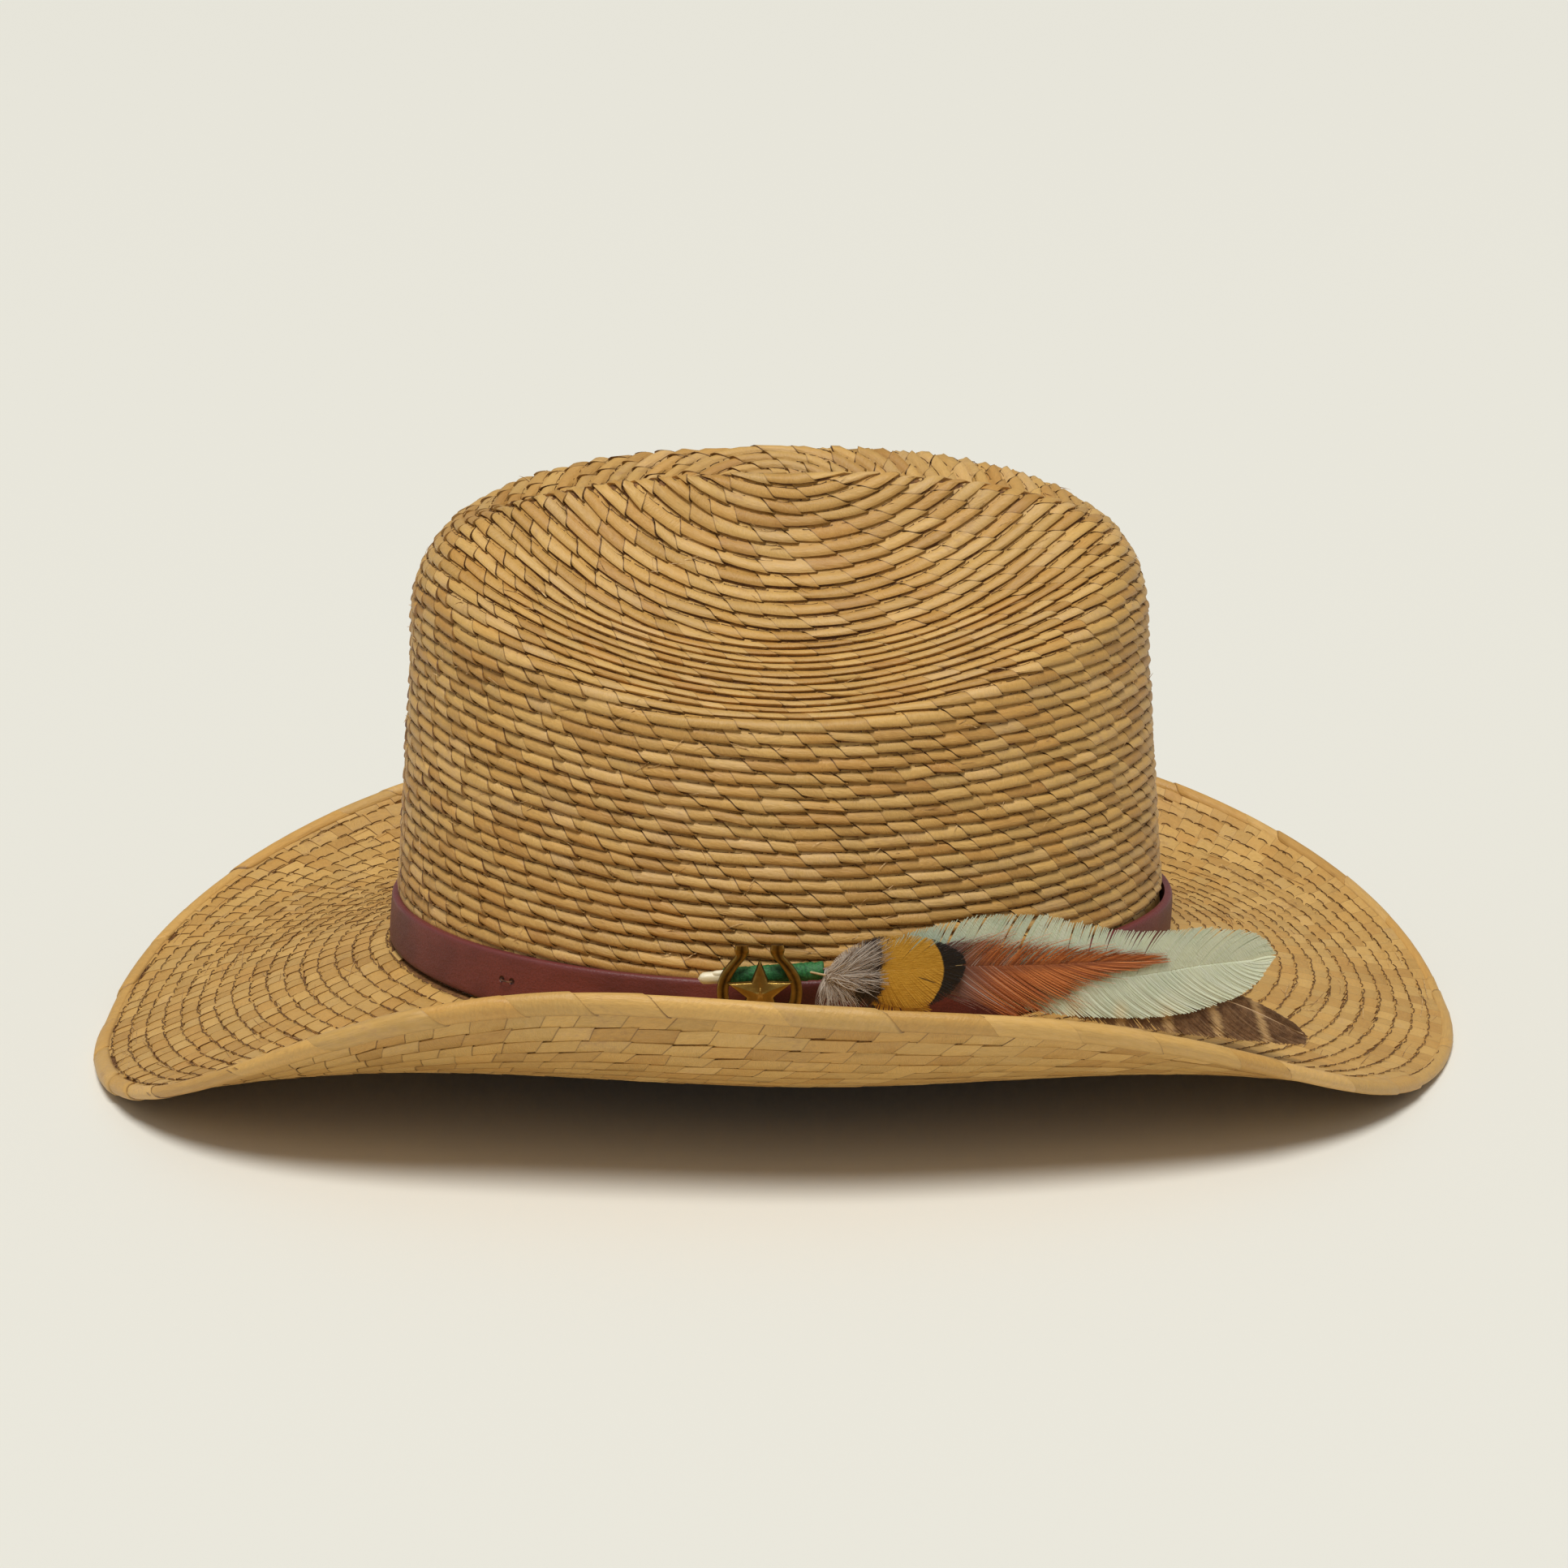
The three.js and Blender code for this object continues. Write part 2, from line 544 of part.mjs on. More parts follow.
feather("feather_rust", 0x8a4a26, {
  plane: -91.2, seat: [-0.2, 1.12], from: 0, r: 0.3, points: 30,
  rachis: [[16, 42], [35, 42], [60, 42], [86, 43]],
  vane: [
    [14, 41.8], [26, 45.4], [39, 47], [52, 46.6], [70, 45], [90, 43.2], [72, 37.8], [62, 32.6],
    [52.6, 29.6], [39.5, 35.8], [24, 38.8],
  ],
});
feather("feather_gold", 0xc39224, {
  plane: -93, seat: [-1, 0.55], from: 0, r: 0.3, points: 30,
  rachis: [[14.5, 41.6], [24, 41.8], [38, 42.6]],
  vane: [
    [6.5, 41.2], [9.5, 45.7], [15, 49], [21, 50.4], [29.4, 50.1], [35.5, 48], [39.4, 45.6],
    [40.6, 42.9], [39.2, 38.7], [35.6, 34.5], [29.6, 32], [21.2, 32.7], [13, 35.4], [8, 38.2],
  ],
});
feather("feather_gold_small", 0xa98a4a, {
  plane: -92.1, seat: [-1, -0.55], from: 0, r: 0.3, points: 26,
  rachis: [[13, 38.8], [20, 35.6], [28, 31.6]],
  vane: [[8, 38.2], [14, 38.8], [22, 37.6], [29, 34.8], [32.4, 31], [29.6, 29], [22, 29.4], [14, 32.2], [9, 35.2]],
});

export default group;
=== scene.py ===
# %% [markdown]
# # A western straw hat, piece by piece
# The hat is a sewn-braid hat: one long plait of palm leaf is wound in a spiral from the tip of the crown
# to the brim edge and stitched to itself, then pressed over a block. It could be modelled as one smooth
# shell with a picture of straw on it, but the rolls of braid and the gaps between them are what the eye
# reads, so here every visible strand is its own small closed shape, laid along the same spiral.

import math

import bpy
import numpy as np
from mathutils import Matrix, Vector


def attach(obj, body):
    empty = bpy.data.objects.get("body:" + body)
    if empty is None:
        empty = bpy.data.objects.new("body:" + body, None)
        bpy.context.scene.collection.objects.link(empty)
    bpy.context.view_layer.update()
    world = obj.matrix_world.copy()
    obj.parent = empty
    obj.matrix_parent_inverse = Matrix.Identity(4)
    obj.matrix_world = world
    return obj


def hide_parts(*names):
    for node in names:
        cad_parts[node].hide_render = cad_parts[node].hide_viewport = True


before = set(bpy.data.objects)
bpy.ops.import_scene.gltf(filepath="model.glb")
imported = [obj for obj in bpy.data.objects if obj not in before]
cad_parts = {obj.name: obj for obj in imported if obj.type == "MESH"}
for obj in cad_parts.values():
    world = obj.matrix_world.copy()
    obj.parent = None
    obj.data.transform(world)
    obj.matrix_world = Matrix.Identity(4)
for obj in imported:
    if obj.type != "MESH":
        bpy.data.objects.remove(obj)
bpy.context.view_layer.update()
MM = 0.001
TURN = 2 * math.pi

# %% [markdown]
# ## Studio
# A pale seamless floor under a weak even sky, and one wide soft light above and a little in front of the hat.
# A wide sun lights the whole floor alike, so it stays one tone to its far edge, and the shadow stays close
# under the brim. The floor throws light back on the underside of the brim, so no lamp is needed there.

# %% Camera
CAMERA_TURN, CAMERA_RISE = math.radians(-3), math.radians(13.5)
CAMERA_TARGET = np.array([0.001, 0, 0.0662])
CAMERA_DISTANCE, CAMERA_LENS = 1.0, 86.46


def direction(turn, rise):
    """Unit vector from the hat towards a viewer: sine and cosine of the two angles."""
    return np.array([math.sin(turn) * math.cos(rise), -math.cos(turn) * math.cos(rise), math.sin(rise)])


def aim(thing, at, target):
    """Stands a camera or lamp at one point, looking at another."""
    bpy.context.scene.collection.objects.link(thing)
    thing.location = at
    thing.rotation_mode = "QUATERNION"
    thing.rotation_quaternion = Vector(target - at).to_track_quat("-Z", "Y")


camera = bpy.data.objects.new("camera", bpy.data.cameras.new("camera"))
camera.data.lens, camera.data.sensor_width = CAMERA_LENS, 36
aim(camera, CAMERA_TARGET + direction(CAMERA_TURN, CAMERA_RISE) * CAMERA_DISTANCE, CAMERA_TARGET)
bpy.context.scene.camera = camera
bpy.context.scene.view_settings.view_transform = "Standard"
print("camera at", [round(x, 3) for x in camera.location])


# %% Lamps
def soft_sun(name, at, spread, power, colour):
    """An even light from one side of the sky; spread is the width in degrees of the patch of sky it fills."""
    lamp = bpy.data.lights.new(name, "SUN")
    lamp.angle, lamp.energy, lamp.color = math.radians(spread), power, colour
    aim(bpy.data.objects.new(name, lamp), np.array(at), np.array([0, 0, 0.05]))


soft_sun("overhead_softbox", (-0.12, -0.7, 1.75), 26, 2.45, (1.0, 0.985, 0.95))
world = bpy.data.worlds.new("studio")
bpy.context.scene.world = world
world.use_nodes = True
world.node_tree.nodes["Background"].inputs[0].default_value = (0.93, 0.925, 0.89, 1)
world.node_tree.nodes["Background"].inputs[1].default_value = 0.3


# %% [markdown]
# ## Finishes
# Every finish is a small network of shader nodes. Writing that network as arithmetic keeps it readable, so
# one class wraps a socket: adding or multiplying two wrapped sockets adds the Math node that does it.


# %% Node arithmetic
class Wire:
    """The output of a node; arithmetic on it adds Math nodes to the same material."""

    def __init__(self, finish, socket):
        self.finish, self.socket = finish, socket

    def math(self, operation, first, second=0.0):
        return self.finish.node("Math", {"operation": operation}, {0: first, 1: second})

    def __add__(self, other):
        return self.math("ADD", self, other)

    def __sub__(self, other):
        return self.math("SUBTRACT", self, other)

    def __rsub__(self, other):
        return self.math("SUBTRACT", other, self)

    def __mul__(self, other):
        return self.math("MULTIPLY", self, other)

    def __truediv__(self, other):
        return self.math("DIVIDE", self, other)

    __radd__ = __add__
    __rmul__ = __mul__

    def step(self, low, high):
        """0 below low, 1 above high and a smooth S between."""
        return self.finish.node("MapRange", {"interpolation_type": "SMOOTHSTEP"}, {0: self, 1: low, 2: high})

    def at_most(self, other):
        """The smaller of two values."""
        return self.math("MINIMUM", self, other)

    def near(self, middle, reach):
        """1 at the middle value, falling to 0 at reach away from it."""
        return (1 - self.math("ABSOLUTE", self - middle) / reach).step(0, 1)


class Finish:
    """A material while its nodes are being laid."""

    def __init__(self, name):
        self.material = bpy.data.materials.new(name)
        self.material.use_nodes = True
        self.tree = self.material.node_tree
        self.tree.nodes.clear()

    def node(self, kind, settings, sockets, output=0):
        made = self.tree.nodes.new("ShaderNode" + kind)
        for name, value in settings.items():
            if name == "stops":
                ramp = made.color_ramp
                while len(ramp.elements) < len(value):
                    ramp.elements.new(0.5)
                for element, (at, colour) in zip(ramp.elements, value):
                    element.position, element.color = at, colour
            else:
                setattr(made, name, value)
        for name, value in sockets.items():
            if isinstance(value, Wire):
                self.tree.links.new(value.socket, made.inputs[name])
            else:
                made.inputs[name].default_value = value
        return Wire(self, made.outputs[output])

    def mix(self, share, first, second, blend="MIX"):
        return self.node("Mix", {"data_type": "RGBA", "blend_type": blend}, {0: share, 6: first, 7: second}, 2)

    def parts(self, vector):
        """The three numbers of a vector or colour."""
        made = self.node("SeparateXYZ", {}, {0: vector})
        return [Wire(self, made.socket.node.outputs[i]) for i in range(3)]

    def place(self):
        """Object coordinates in millimetres, as three numbers."""
        return [p * 1000 for p in self.parts(self.node("TexCoord", {}, {}, "Object"))]

    def layout(self):
        """The piece's own map: share along and share across."""
        return self.parts(self.node("UVMap", {"uv_map": "layout"}, {}))[:2]

    def lot(self):
        """The random numbers that each strand or barb was given."""
        return self.parts(self.node("Attribute", {"attribute_name": "lot"}, {}, "Color"))

    def noise(self, where, scale, detail=2.0, rough=0.5):
        """Smooth noise from 0 to 1 at a point given as three numbers."""
        point = self.node("CombineXYZ", {}, dict(enumerate(where)))
        return self.node("TexNoise", {}, {"Vector": point, "Scale": scale, "Detail": detail, "Roughness": rough})

    def surface(self, colour, rough, relief=None, depth=0.0001, **fixed):
        """Closes the material: colour, roughness and relief may vary, and the rest are single numbers."""
        sockets = {"Base Color": colour, "Roughness": rough}
        if relief is not None:
            sockets["Normal"] = self.node("Bump", {}, {"Height": relief, "Distance": depth, "Strength": 1.0})
        sockets.update({name.replace("_", " "): value for name, value in fixed.items()})
        shader = self.node("BsdfPrincipled", {}, sockets)
        end = self.tree.nodes.new("ShaderNodeOutputMaterial")
        self.tree.links.new(shader.socket, end.inputs[0])
        return self.material


def tint(red, green, blue):
    """Screen colour from 0 to 255 as the linear colour that shaders use."""
    share = np.array([red, green, blue]) / 255
    linear = np.where(share <= 0.04045, share / 12.92, ((share + 0.055) / 1.055) ** 2.4)
    return (*linear.tolist(), 1.0)


# %% Floor
floor_mesh = bpy.data.meshes.new("floor")
floor_mesh.from_pydata([(-30, -30, 0), (30, -30, 0), (30, 30, 0), (-30, 30, 0)], [], [(0, 1, 2, 3)])
floor = bpy.data.objects.new("floor", floor_mesh)
bpy.context.scene.collection.objects.link(floor)
paper = Finish("studio_paper")
floor_mesh.materials.append(paper.surface(tint(235, 234, 226), 0.9))
print("floor", floor.dimensions[:2])

# %% [markdown]
# ## The blocked shape
# The hatter presses the spiral over a wooden block, so the block's surface is where every piece of the hat
# lies. It is written as two functions, one for the crown and one for the brim. Each takes the angle round
# the hat and the distance run over the surface, which is how braid is measured, and a height over it.

# %% Block sizes in millimetres
HEAD_A, HEAD_B = 102, 83.5
BREAK_Z, BREAK_SADDLE = 23.7, 2.5
TOP_A, TOP_B, TOP_Z = 96, 78, 152.7
DOME, DOME_POWER, SHOULDER_T = 49, 3, 0.62
SHOULDER_Z = TOP_Z - DOME
BRIM_END, BRIM_SIDE, BRIM_SKEW = 83, 80.2, 4
END_SLOPE, SIDE_FLAT, NEAR_ROLL, FAR_ROLL, ROLL_POWER = -14.6, 28, 60.5, 79.5, 1.1
NEAR_LIFT, FAR_LIFT = (3.45, 1.96), (1.34, 0.96)
SWAY = [(-2.4, -3.7), (-4.9, 3), (2.9, 2)]
DENT, DENT_LENGTH, DENT_FALL, DENT_POWER, DENT_BIAS = 36, 85.5, math.radians(55), 1.75, 0.87
RIDGE_Y, SHELF, FOLD_REACH, SOFTNESS = 22.6, 78.5, 0.3, 0.07
CREASE, CREASE_LENGTH = 18, 84
GAP = 0.3
CROWN_LINING, BRIM_LINING = 1.7, 1.75  # depth of the inner and lower strands under the block surface


# %% Crown surface
def profile(t):
    """Undented crown: share of the full radius, half length, half width, height and share down the wall.

    Up to SHOULDER_T a superellipse quarter of power DOME_POWER, then a straight wall that widens downwards.
    """
    bend = np.clip(t / SHOULDER_T, 0, 1) * np.pi / 2
    s, c = np.sin(bend), np.cos(bend)
    size = (s**DOME_POWER + c**DOME_POWER) ** (1 / DOME_POWER)
    wall = np.maximum((t - SHOULDER_T) / (1 - SHOULDER_T), 0)
    spread = np.minimum(wall, 1)
    z = np.where(wall > 0, SHOULDER_Z + (BREAK_Z - SHOULDER_Z) * wall, SHOULDER_Z + DOME * c / size)
    return s / size, TOP_A + (HEAD_A - TOP_A) * spread, TOP_B + (HEAD_B - TOP_B) * spread, z, spread


steps = np.linspace(0, 1, 601)
share, half_a, half_b, high, _ = profile(steps)
RUN = np.concatenate([[0], np.cumsum(np.hypot(np.diff((half_a + half_b) * share) / 2, np.diff(high)))])
CROWN_RUN = RUN[-1]
BELOW = (SHOULDER_Z - BREAK_Z) / (1 - SHOULDER_T)


def crown_point(u, v):
    """Crown at angle u and run v: the profile, pushed in at both sides and creased along the middle.

    The side push is DENT x (1 - (x / DENT_LENGTH)^2)^1.1 x (1 - (2 x eased distance from the fold)^DENT_POWER).
    """
    v = np.maximum(v, 0)
    t = np.interp(v, RUN, steps) + np.maximum(v - CROWN_RUN, 0) / BELOW
    share, a, b, z, spread = profile(t)
    x, y = a * share * np.cos(u), b * share * np.sin(u)
    z = z + BREAK_SADDLE * np.cos(2 * u) * spread**3
    low = SHOULDER_Z - 20
    section = np.degrees(np.arctan2(np.abs(y) / TOP_B, (z - low) / (TOP_Z - low)))
    ridge = math.degrees(math.atan2(RIDGE_Y / TOP_B, 1))
    along = np.clip(1 - (x / DENT_LENGTH) ** 2, 0, 1)
    fold = ridge + (SHELF - ridge) * (FOLD_REACH + (1 - FOLD_REACH) * np.sqrt(along))
    q = np.clip((section - ridge) / (fold - ridge), 0, 1) ** DENT_BIAS
    side = np.minimum(q, 1 - q)
    eased = 0.5 - side**2 / (side + SOFTNESS)
    push = DENT * along**1.1 * (1 - (2 * eased) ** DENT_POWER)
    valley = np.maximum(1 - np.hypot(section, 3) / ridge, 0)
    crease = CREASE * np.clip(1 - (x / CREASE_LENGTH) ** 2, 0, 1) * valley**1.2
    y = y - np.sign(y) * push * math.cos(DENT_FALL)
    return np.stack([x, y, z - push * math.sin(DENT_FALL) - crease], -1)


def unit(vectors):
    """Vectors scaled to length one."""
    return vectors / np.maximum(np.linalg.norm(vectors, axis=-1, keepdims=True), 1e-9)


def on_crown(u, v, height):
    """Crown point moved out along the normal, the cross product of the two tangents."""
    u, v, height = np.broadcast_arrays(u, v, height)
    w = np.maximum(v, 3)
    du = crown_point(u + 0.012, w) - crown_point(u - 0.012, w)
    dv = crown_point(u, w + 1) - crown_point(u, w - 1)
    return crown_point(u, v) + unit(np.cross(dv, du)) * height[..., None]


print("crown run", round(float(CROWN_RUN), 1), "mm")


# %% Brim surface
def brim_width(u):
    """Width over the surface: BRIM_END at the ends and BRIM_SIDE at the sides.

    BRIM_SKEW widens the back right and front left quarters, and narrows the other two.
    """
    return BRIM_END + (BRIM_SIDE - BRIM_END) * np.sin(u) ** 2 + BRIM_SKEW * np.sin(2 * u)


def brim_slope(u, d):
    """Slope in radians: falls at the ends, and rolls up at the sides with the distance past SIDE_FLAT.

    SWAY adds the unevenness of hand shaping: cosine and sine waves round the edge, in degrees.
    """
    s = np.sin(u)
    grow, power = np.where(s > 0, FAR_LIFT[0], NEAR_LIFT[0]), np.where(s > 0, FAR_LIFT[1], NEAR_LIFT[1])
    lift = 1 - np.maximum(1 - np.abs(s) ** grow, 0) ** power
    up = np.clip((d - SIDE_FLAT) / (brim_width(u) - SIDE_FLAT), 0, 1.2)
    roll = np.where(s > 0, FAR_ROLL, NEAR_ROLL)
    sway = sum(a * np.cos((i + 1) * u) + b * np.sin((i + 1) * u) for i, (a, b) in enumerate(SWAY))
    return np.radians(END_SLOPE * (1 - lift) + roll * up**ROLL_POWER * lift + sway * d / brim_width(u))


SLOPE_STEPS = 40


def on_brim(u, d, height):
    """Brim point a run d out from the crown: the slope summed in steps, then the height along its normal."""
    u, d, height = np.broadcast_arrays(u, d, height)
    slopes = brim_slope(u[..., None], d[..., None] * (np.arange(SLOPE_STEPS) + 0.5) / SLOPE_STEPS)
    end = brim_slope(u, d)
    r = np.cos(slopes).sum(-1) * d / SLOPE_STEPS - np.sin(end) * height
    rise = np.sin(slopes).sum(-1) * d / SLOPE_STEPS
    z = BREAK_Z + BREAK_SADDLE * np.cos(2 * u) + rise + np.cos(end) * height
    nx, ny = np.cos(u) / HEAD_A, np.sin(u) / HEAD_B
    n = np.hypot(nx, ny)
    return np.stack([HEAD_A * np.cos(u) + nx / n * r, HEAD_B * np.sin(u) + ny / n * r, z], -1)


print("brim height at the side", on_brim(np.array(-np.pi / 2), np.array(BRIM_SIDE), np.array(0.0)).round(1))


# %% Mesh from arrays
def make_piece(name, points, faces, body, finish, slot=None, stands_for=(), smooth=50, layout=None, lot=None):
    """A mesh object from points in millimetres and face arrays, one array for each number of corners."""
    points = np.asarray(points, float).reshape(-1, 3)
    corners = np.concatenate([f.ravel() for f in faces]).astype(np.int32)
    sizes = np.concatenate([np.full(len(f), f.shape[1]) for f in faces])
    mesh = bpy.data.meshes.new(name)
    mesh.vertices.add(len(points))
    mesh.vertices.foreach_set("co", (points * MM).ravel())
    mesh.loops.add(len(corners))
    mesh.loops.foreach_set("vertex_index", corners)
    mesh.polygons.add(len(sizes))
    mesh.polygons.foreach_set("loop_start", np.concatenate([[0], np.cumsum(sizes)[:-1]]).astype(np.int32))
    mesh.update(calc_edges=True)
    if layout is not None:
        mesh.uv_layers.new(name="layout")
        mesh.uv_layers["layout"].uv.foreach_set("vector", np.asarray(layout).reshape(-1, 2)[corners].ravel())
    if lot is not None:
        mesh.attributes.new("lot", "FLOAT_COLOR", "POINT")
        colour = np.concatenate([np.asarray(lot).reshape(-1, 3), np.ones((len(points), 1))], 1)
        mesh.attributes["lot"].data.foreach_set("color", colour.ravel())
    mesh.polygons.foreach_set("use_smooth", np.ones(len(sizes), bool))
    mesh.set_sharp_from_angle(angle=math.radians(smooth))
    mesh.validate()
    mesh.materials.append(finish)
    piece = bpy.data.objects.new(name, mesh)
    bpy.context.scene.collection.objects.link(piece)
    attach(piece, body)
    if stands_for:
        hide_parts(*stands_for)
    print(name, int((sizes - 2).sum()), "triangles")
    return piece


def ring_faces(around, across, closed_across=True, flip=False):
    """Quads of a grid that closes round the hat, and across too if its section is a loop."""
    i, j = np.meshgrid(np.arange(around), np.arange(across if closed_across else across - 1), indexing="ij")
    k, l = (i + 1) % around, (j + 1) % across
    quads = np.stack([i * across + j, i * across + l, k * across + l, k * across + j], -1).reshape(-1, 4)
    return quads[:, ::-1] if flip else quads


def lay_piece(name, laid, finish, slot, stands_for=(), body="hat", smooth=50):
    """A mesh object from the points, faces and two maps that a laying function returned."""
    maps = laid["layout"], laid["lot"]
    return make_piece(name, laid["points"], laid["faces"], body, finish, slot, stands_for, smooth, *maps)


# %% [markdown]
# ## Strands of braid
# A plait seen from its face is a row of slanted strand ends, each a little higher at one end where it comes
# over its neighbour. Each strand here is a small closed pillow on a grid of a few faces. All strands of a
# piece are worked out in one go: the spiral is measured first, then cut into lengths, and every grid point
# gets a distance along the spiral, a distance across the row and a height, which the block turns into a place.


# %% Strands along a spiral
def lay_strands(place, turns, size, spread, slant, section, rise, seed, wobble=0.04, flip=False, keep=None, lap=0.06,
                jog=0.12, pieces=2):
    """Closed strands along the spiral place(angle, angle / turn + offset, height).

    Distance along the spiral is counted in strand lengths. A strand spans its own length along; across, section
    lists (offset in rows, height). Height = section height x strand size + rise x (share along - 1/2), so each
    strand starts lap under the raised end of the one before, and jog turns it a little across the row.
    """
    rng = np.random.default_rng(seed)
    angle = np.linspace(turns[0] * TURN, turns[1] * TURN, int((turns[1] - turns[0]) * 240))
    line = place(angle, angle / TURN, np.zeros_like(angle))
    chords = np.linalg.norm(np.diff(line, axis=0), axis=1)
    count_along = np.concatenate([[0], np.cumsum(chords / size((angle[1:] + angle[:-1]) / 2 / TURN))])
    lengths = rng.uniform(1 - spread, 1 + spread, int(count_along[-1] * 1.2))
    start = np.cumsum(lengths) - lengths[0]
    start = start[start < count_along[-1] - 1]
    n = len(start) - 1
    edge_slant = slant * rng.uniform(0.65, 1.3, n + 1)
    stray = rng.normal(0, wobble, (2, n + 1))
    tall = rng.uniform(0.78, 1.2, n)
    lot = rng.random((n, 3))
    s = np.concatenate([[0], np.linspace(0.002, 0.998, pieces + 1), [1]])
    taper = np.concatenate([[0], np.ones(pieces + 1), [0]])
    offset, height = np.array(section, float).T
    cross = np.linspace(0, 1, len(offset))
    t = (s * (1 + lap) - lap)[None, :, None]
    c = cross[None, None, :]
    lean = edge_slant[:-1, None, None] * (1 - t) + edge_slant[1:, None, None] * t
    along = start[:-1, None, None] + (start[1:] - start[:-1])[:, None, None] * t + lean * (c - 0.5)
    drift = lambda k: stray[k, :-1, None, None] * (1 - t) + stray[k, 1:, None, None] * t
    theta = np.interp(along, count_along, angle)
    row = theta / TURN + offset + drift(0) * (1 - c) + drift(1) * c + jog * (t - 0.5)
    rim = (cross > 0) & (cross < 1)
    up = taper[None, :, None] * rim
    body = height * tall[:, None, None] + rise * (t - 0.5)
    over = np.where(up > 0, body, np.minimum(height.min(), -0.2) + 0 * body)
    points = place(theta, row, over)
    if keep is not None:
        chosen = keep(theta, row).all((1, 2))
        points, lot = points[chosen], lot[chosen]
        n = int(chosen.sum())
    m, k = len(s) - 1, len(offset) - 1
    base = (np.arange(n) * (m + 1) * (k + 1))[:, None]
    at = lambda i, j: i * (k + 1) + j
    i, j = np.meshgrid(np.arange(m), np.arange(k), indexing="ij")
    top = np.stack([at(i, j), at(i, j + 1), at(i + 1, j + 1), at(i + 1, j)], -1).reshape(-1)
    middle = np.arange(1, k - 1)
    under = np.stack([at(0, middle), at(m, middle), at(m, middle + 1), at(0, middle + 1)], -1).reshape(-1)
    first = [at(i, 0) for i in range(m + 1)] + [at(m, 1), at(0, 1)]
    last = [at(0, k - 1), at(m, k - 1)] + [at(i, k) for i in range(m, -1, -1)]
    faces = [(base + top).reshape(-1, 4), (base + under).reshape(-1, 4)]
    faces += [(base + np.array(first)).reshape(-1, m + 3), (base + np.array(last)).reshape(-1, m + 3)]
    if flip:
        faces = [f[:, ::-1] for f in faces]
    layout = np.broadcast_to(np.stack(np.broadcast_arrays(s[:, None], cross[None, :]), -1), (n, m + 1, k + 1, 2))
    lots = np.broadcast_to(lot[:, None, None, :], (n, m + 1, k + 1, 3))
    return {"points": points, "faces": faces, "layout": layout, "lot": lots}


# %% Straw finish
STRAW = [(0.0, tint(168, 116, 54)), (0.14, tint(196, 144, 72)), (0.4, tint(211, 163, 88)),
         (0.68, tint(221, 177, 103)), (0.86, tint(227, 184, 120)), (1.0, tint(238, 206, 148))]


def straw(name, length, pitch, shade=(1.0, 1.0, 1.0), ends=0.35, streaks=3.2, edge_shade=0.38, spread=0.6):
    """Palm strand: a tone for each strand, fibres that run slanted on half of them, stains, and darkened ends and row
    edges.

    Length and pitch are the strand's size in millimetres, spread is how far tones differ between strands, ends is the
    reach of the dark at the strand ends (partly brown cut ends, partly painted shade where strands lap), and edge shade
    is the strength of painted shade along both sides of a row, under the row above and where the roll turns under.
    """
    f = Finish(name)
    s, c = f.layout()
    tone, bright, grain_lot = f.lot()
    x, y, z = f.place()
    along, across = s * length, c * pitch
    slanted = grain_lot.step(0.45, 0.55)
    fibre = across + along * slanted
    drawn = (along - across) * 0.16
    grain = f.noise([fibre, drawn, tone * 90], streaks, 4, 0.65)
    blotch = f.noise([x, y, z], 0.045, 3, 0.6)
    mottle = f.noise([along * 0.7, across * 1.2, bright * 70], 0.9, 3, 0.6)
    middle = 0.12 - spread / 2
    colour = f.node("ValToRGB", {"stops": STRAW}, {0: tone * spread + mottle * 0.42 + blotch * 0.36 + middle})
    colour = f.mix(1.0, colour, (*shade, 1), "MULTIPLY")
    dull = grain * 0.34 + bright * 0.16 + 0.62
    grey = f.node("CombineColor", {}, {0: dull, 1: dull, 2: dull * 0.98})
    colour = f.mix(1.0, colour, grey, "MULTIPLY")
    scorch = (blotch * 0.55 + mottle * 0.45).step(0.53, 0.72) * 0.42
    colour = f.mix(scorch, colour, tint(140, 92, 45))
    # Dark strand ends: partly the brown cut ends of the leaf, partly painted shade where one strand laps the next.
    end = (1 - s.at_most(1 - s) * length / ends).step(0, 1) * (bright * 0.6 + 0.5)
    # Painted shade along both sides of a row: where it tucks under the row above and where its roll turns under.
    row_edge_shade = (c - 0.86).step(0, 0.12) + (0.1 - c).step(0, 0.08)
    colour = f.mix(end * 0.9 + row_edge_shade.at_most(1.0) * edge_shade, colour, tint(92, 56, 22))
    return f.surface(colour, 0.38 + grain * 0.22, grain * 0.6 + mottle * 0.4, 0.00035)


crown_straw = straw("crown_straw", 8.6, 3.4)
brim_straw = straw("brim_straw", 6.2, 4.7, ends=0.22, edge_shade=0.2, spread=0.4)
under_straw = straw("under_straw", 9.2, 4.7, shade=(1.0, 0.985, 0.95), ends=0.4, edge_shade=0.26, spread=0.46)
print("straw finishes", crown_straw.name, brim_straw.name, under_straw.name)

# %% [markdown]
# ## Crown
# The crown's braid is rolled over a little as it is sewn, so each row is a round ridge that overhangs the row
# below. The section of a strand is therefore a lopsided bump: low where it disappears under the row above,
# highest past the middle, and turned under at its lower edge. Rows are wider on the tip than on the wall.

# %% Rows of the crown
CROWN_ROWS, BAND_TOP = 55, 16
spoke_angles = np.arange(361) * TURN / 360
spoke_runs = np.linspace(0, CROWN_RUN, 500)
spokes = crown_point(spoke_angles[:, None], spoke_runs[None, :])
lengths = np.cumsum(np.linalg.norm(np.diff(spokes, axis=1), axis=2), axis=1)
reached = np.concatenate([np.zeros((361, 1)), lengths / lengths[:, -1:]], 1)
SHARES = np.linspace(0, 1, 401)
RUN_AT = np.stack([np.interp(SHARES, line, spoke_runs) for line in reached])
width = 1 + 0.22 * np.exp(-(((SHARES - 0.27) / 0.1) ** 2)) - 0.04 * np.exp(-(((SHARES - 0.5) / 0.1) ** 2))
share_row = CROWN_ROWS * np.concatenate([[0], np.cumsum(1 / width[1:])]) / np.sum(1 / width[1:])


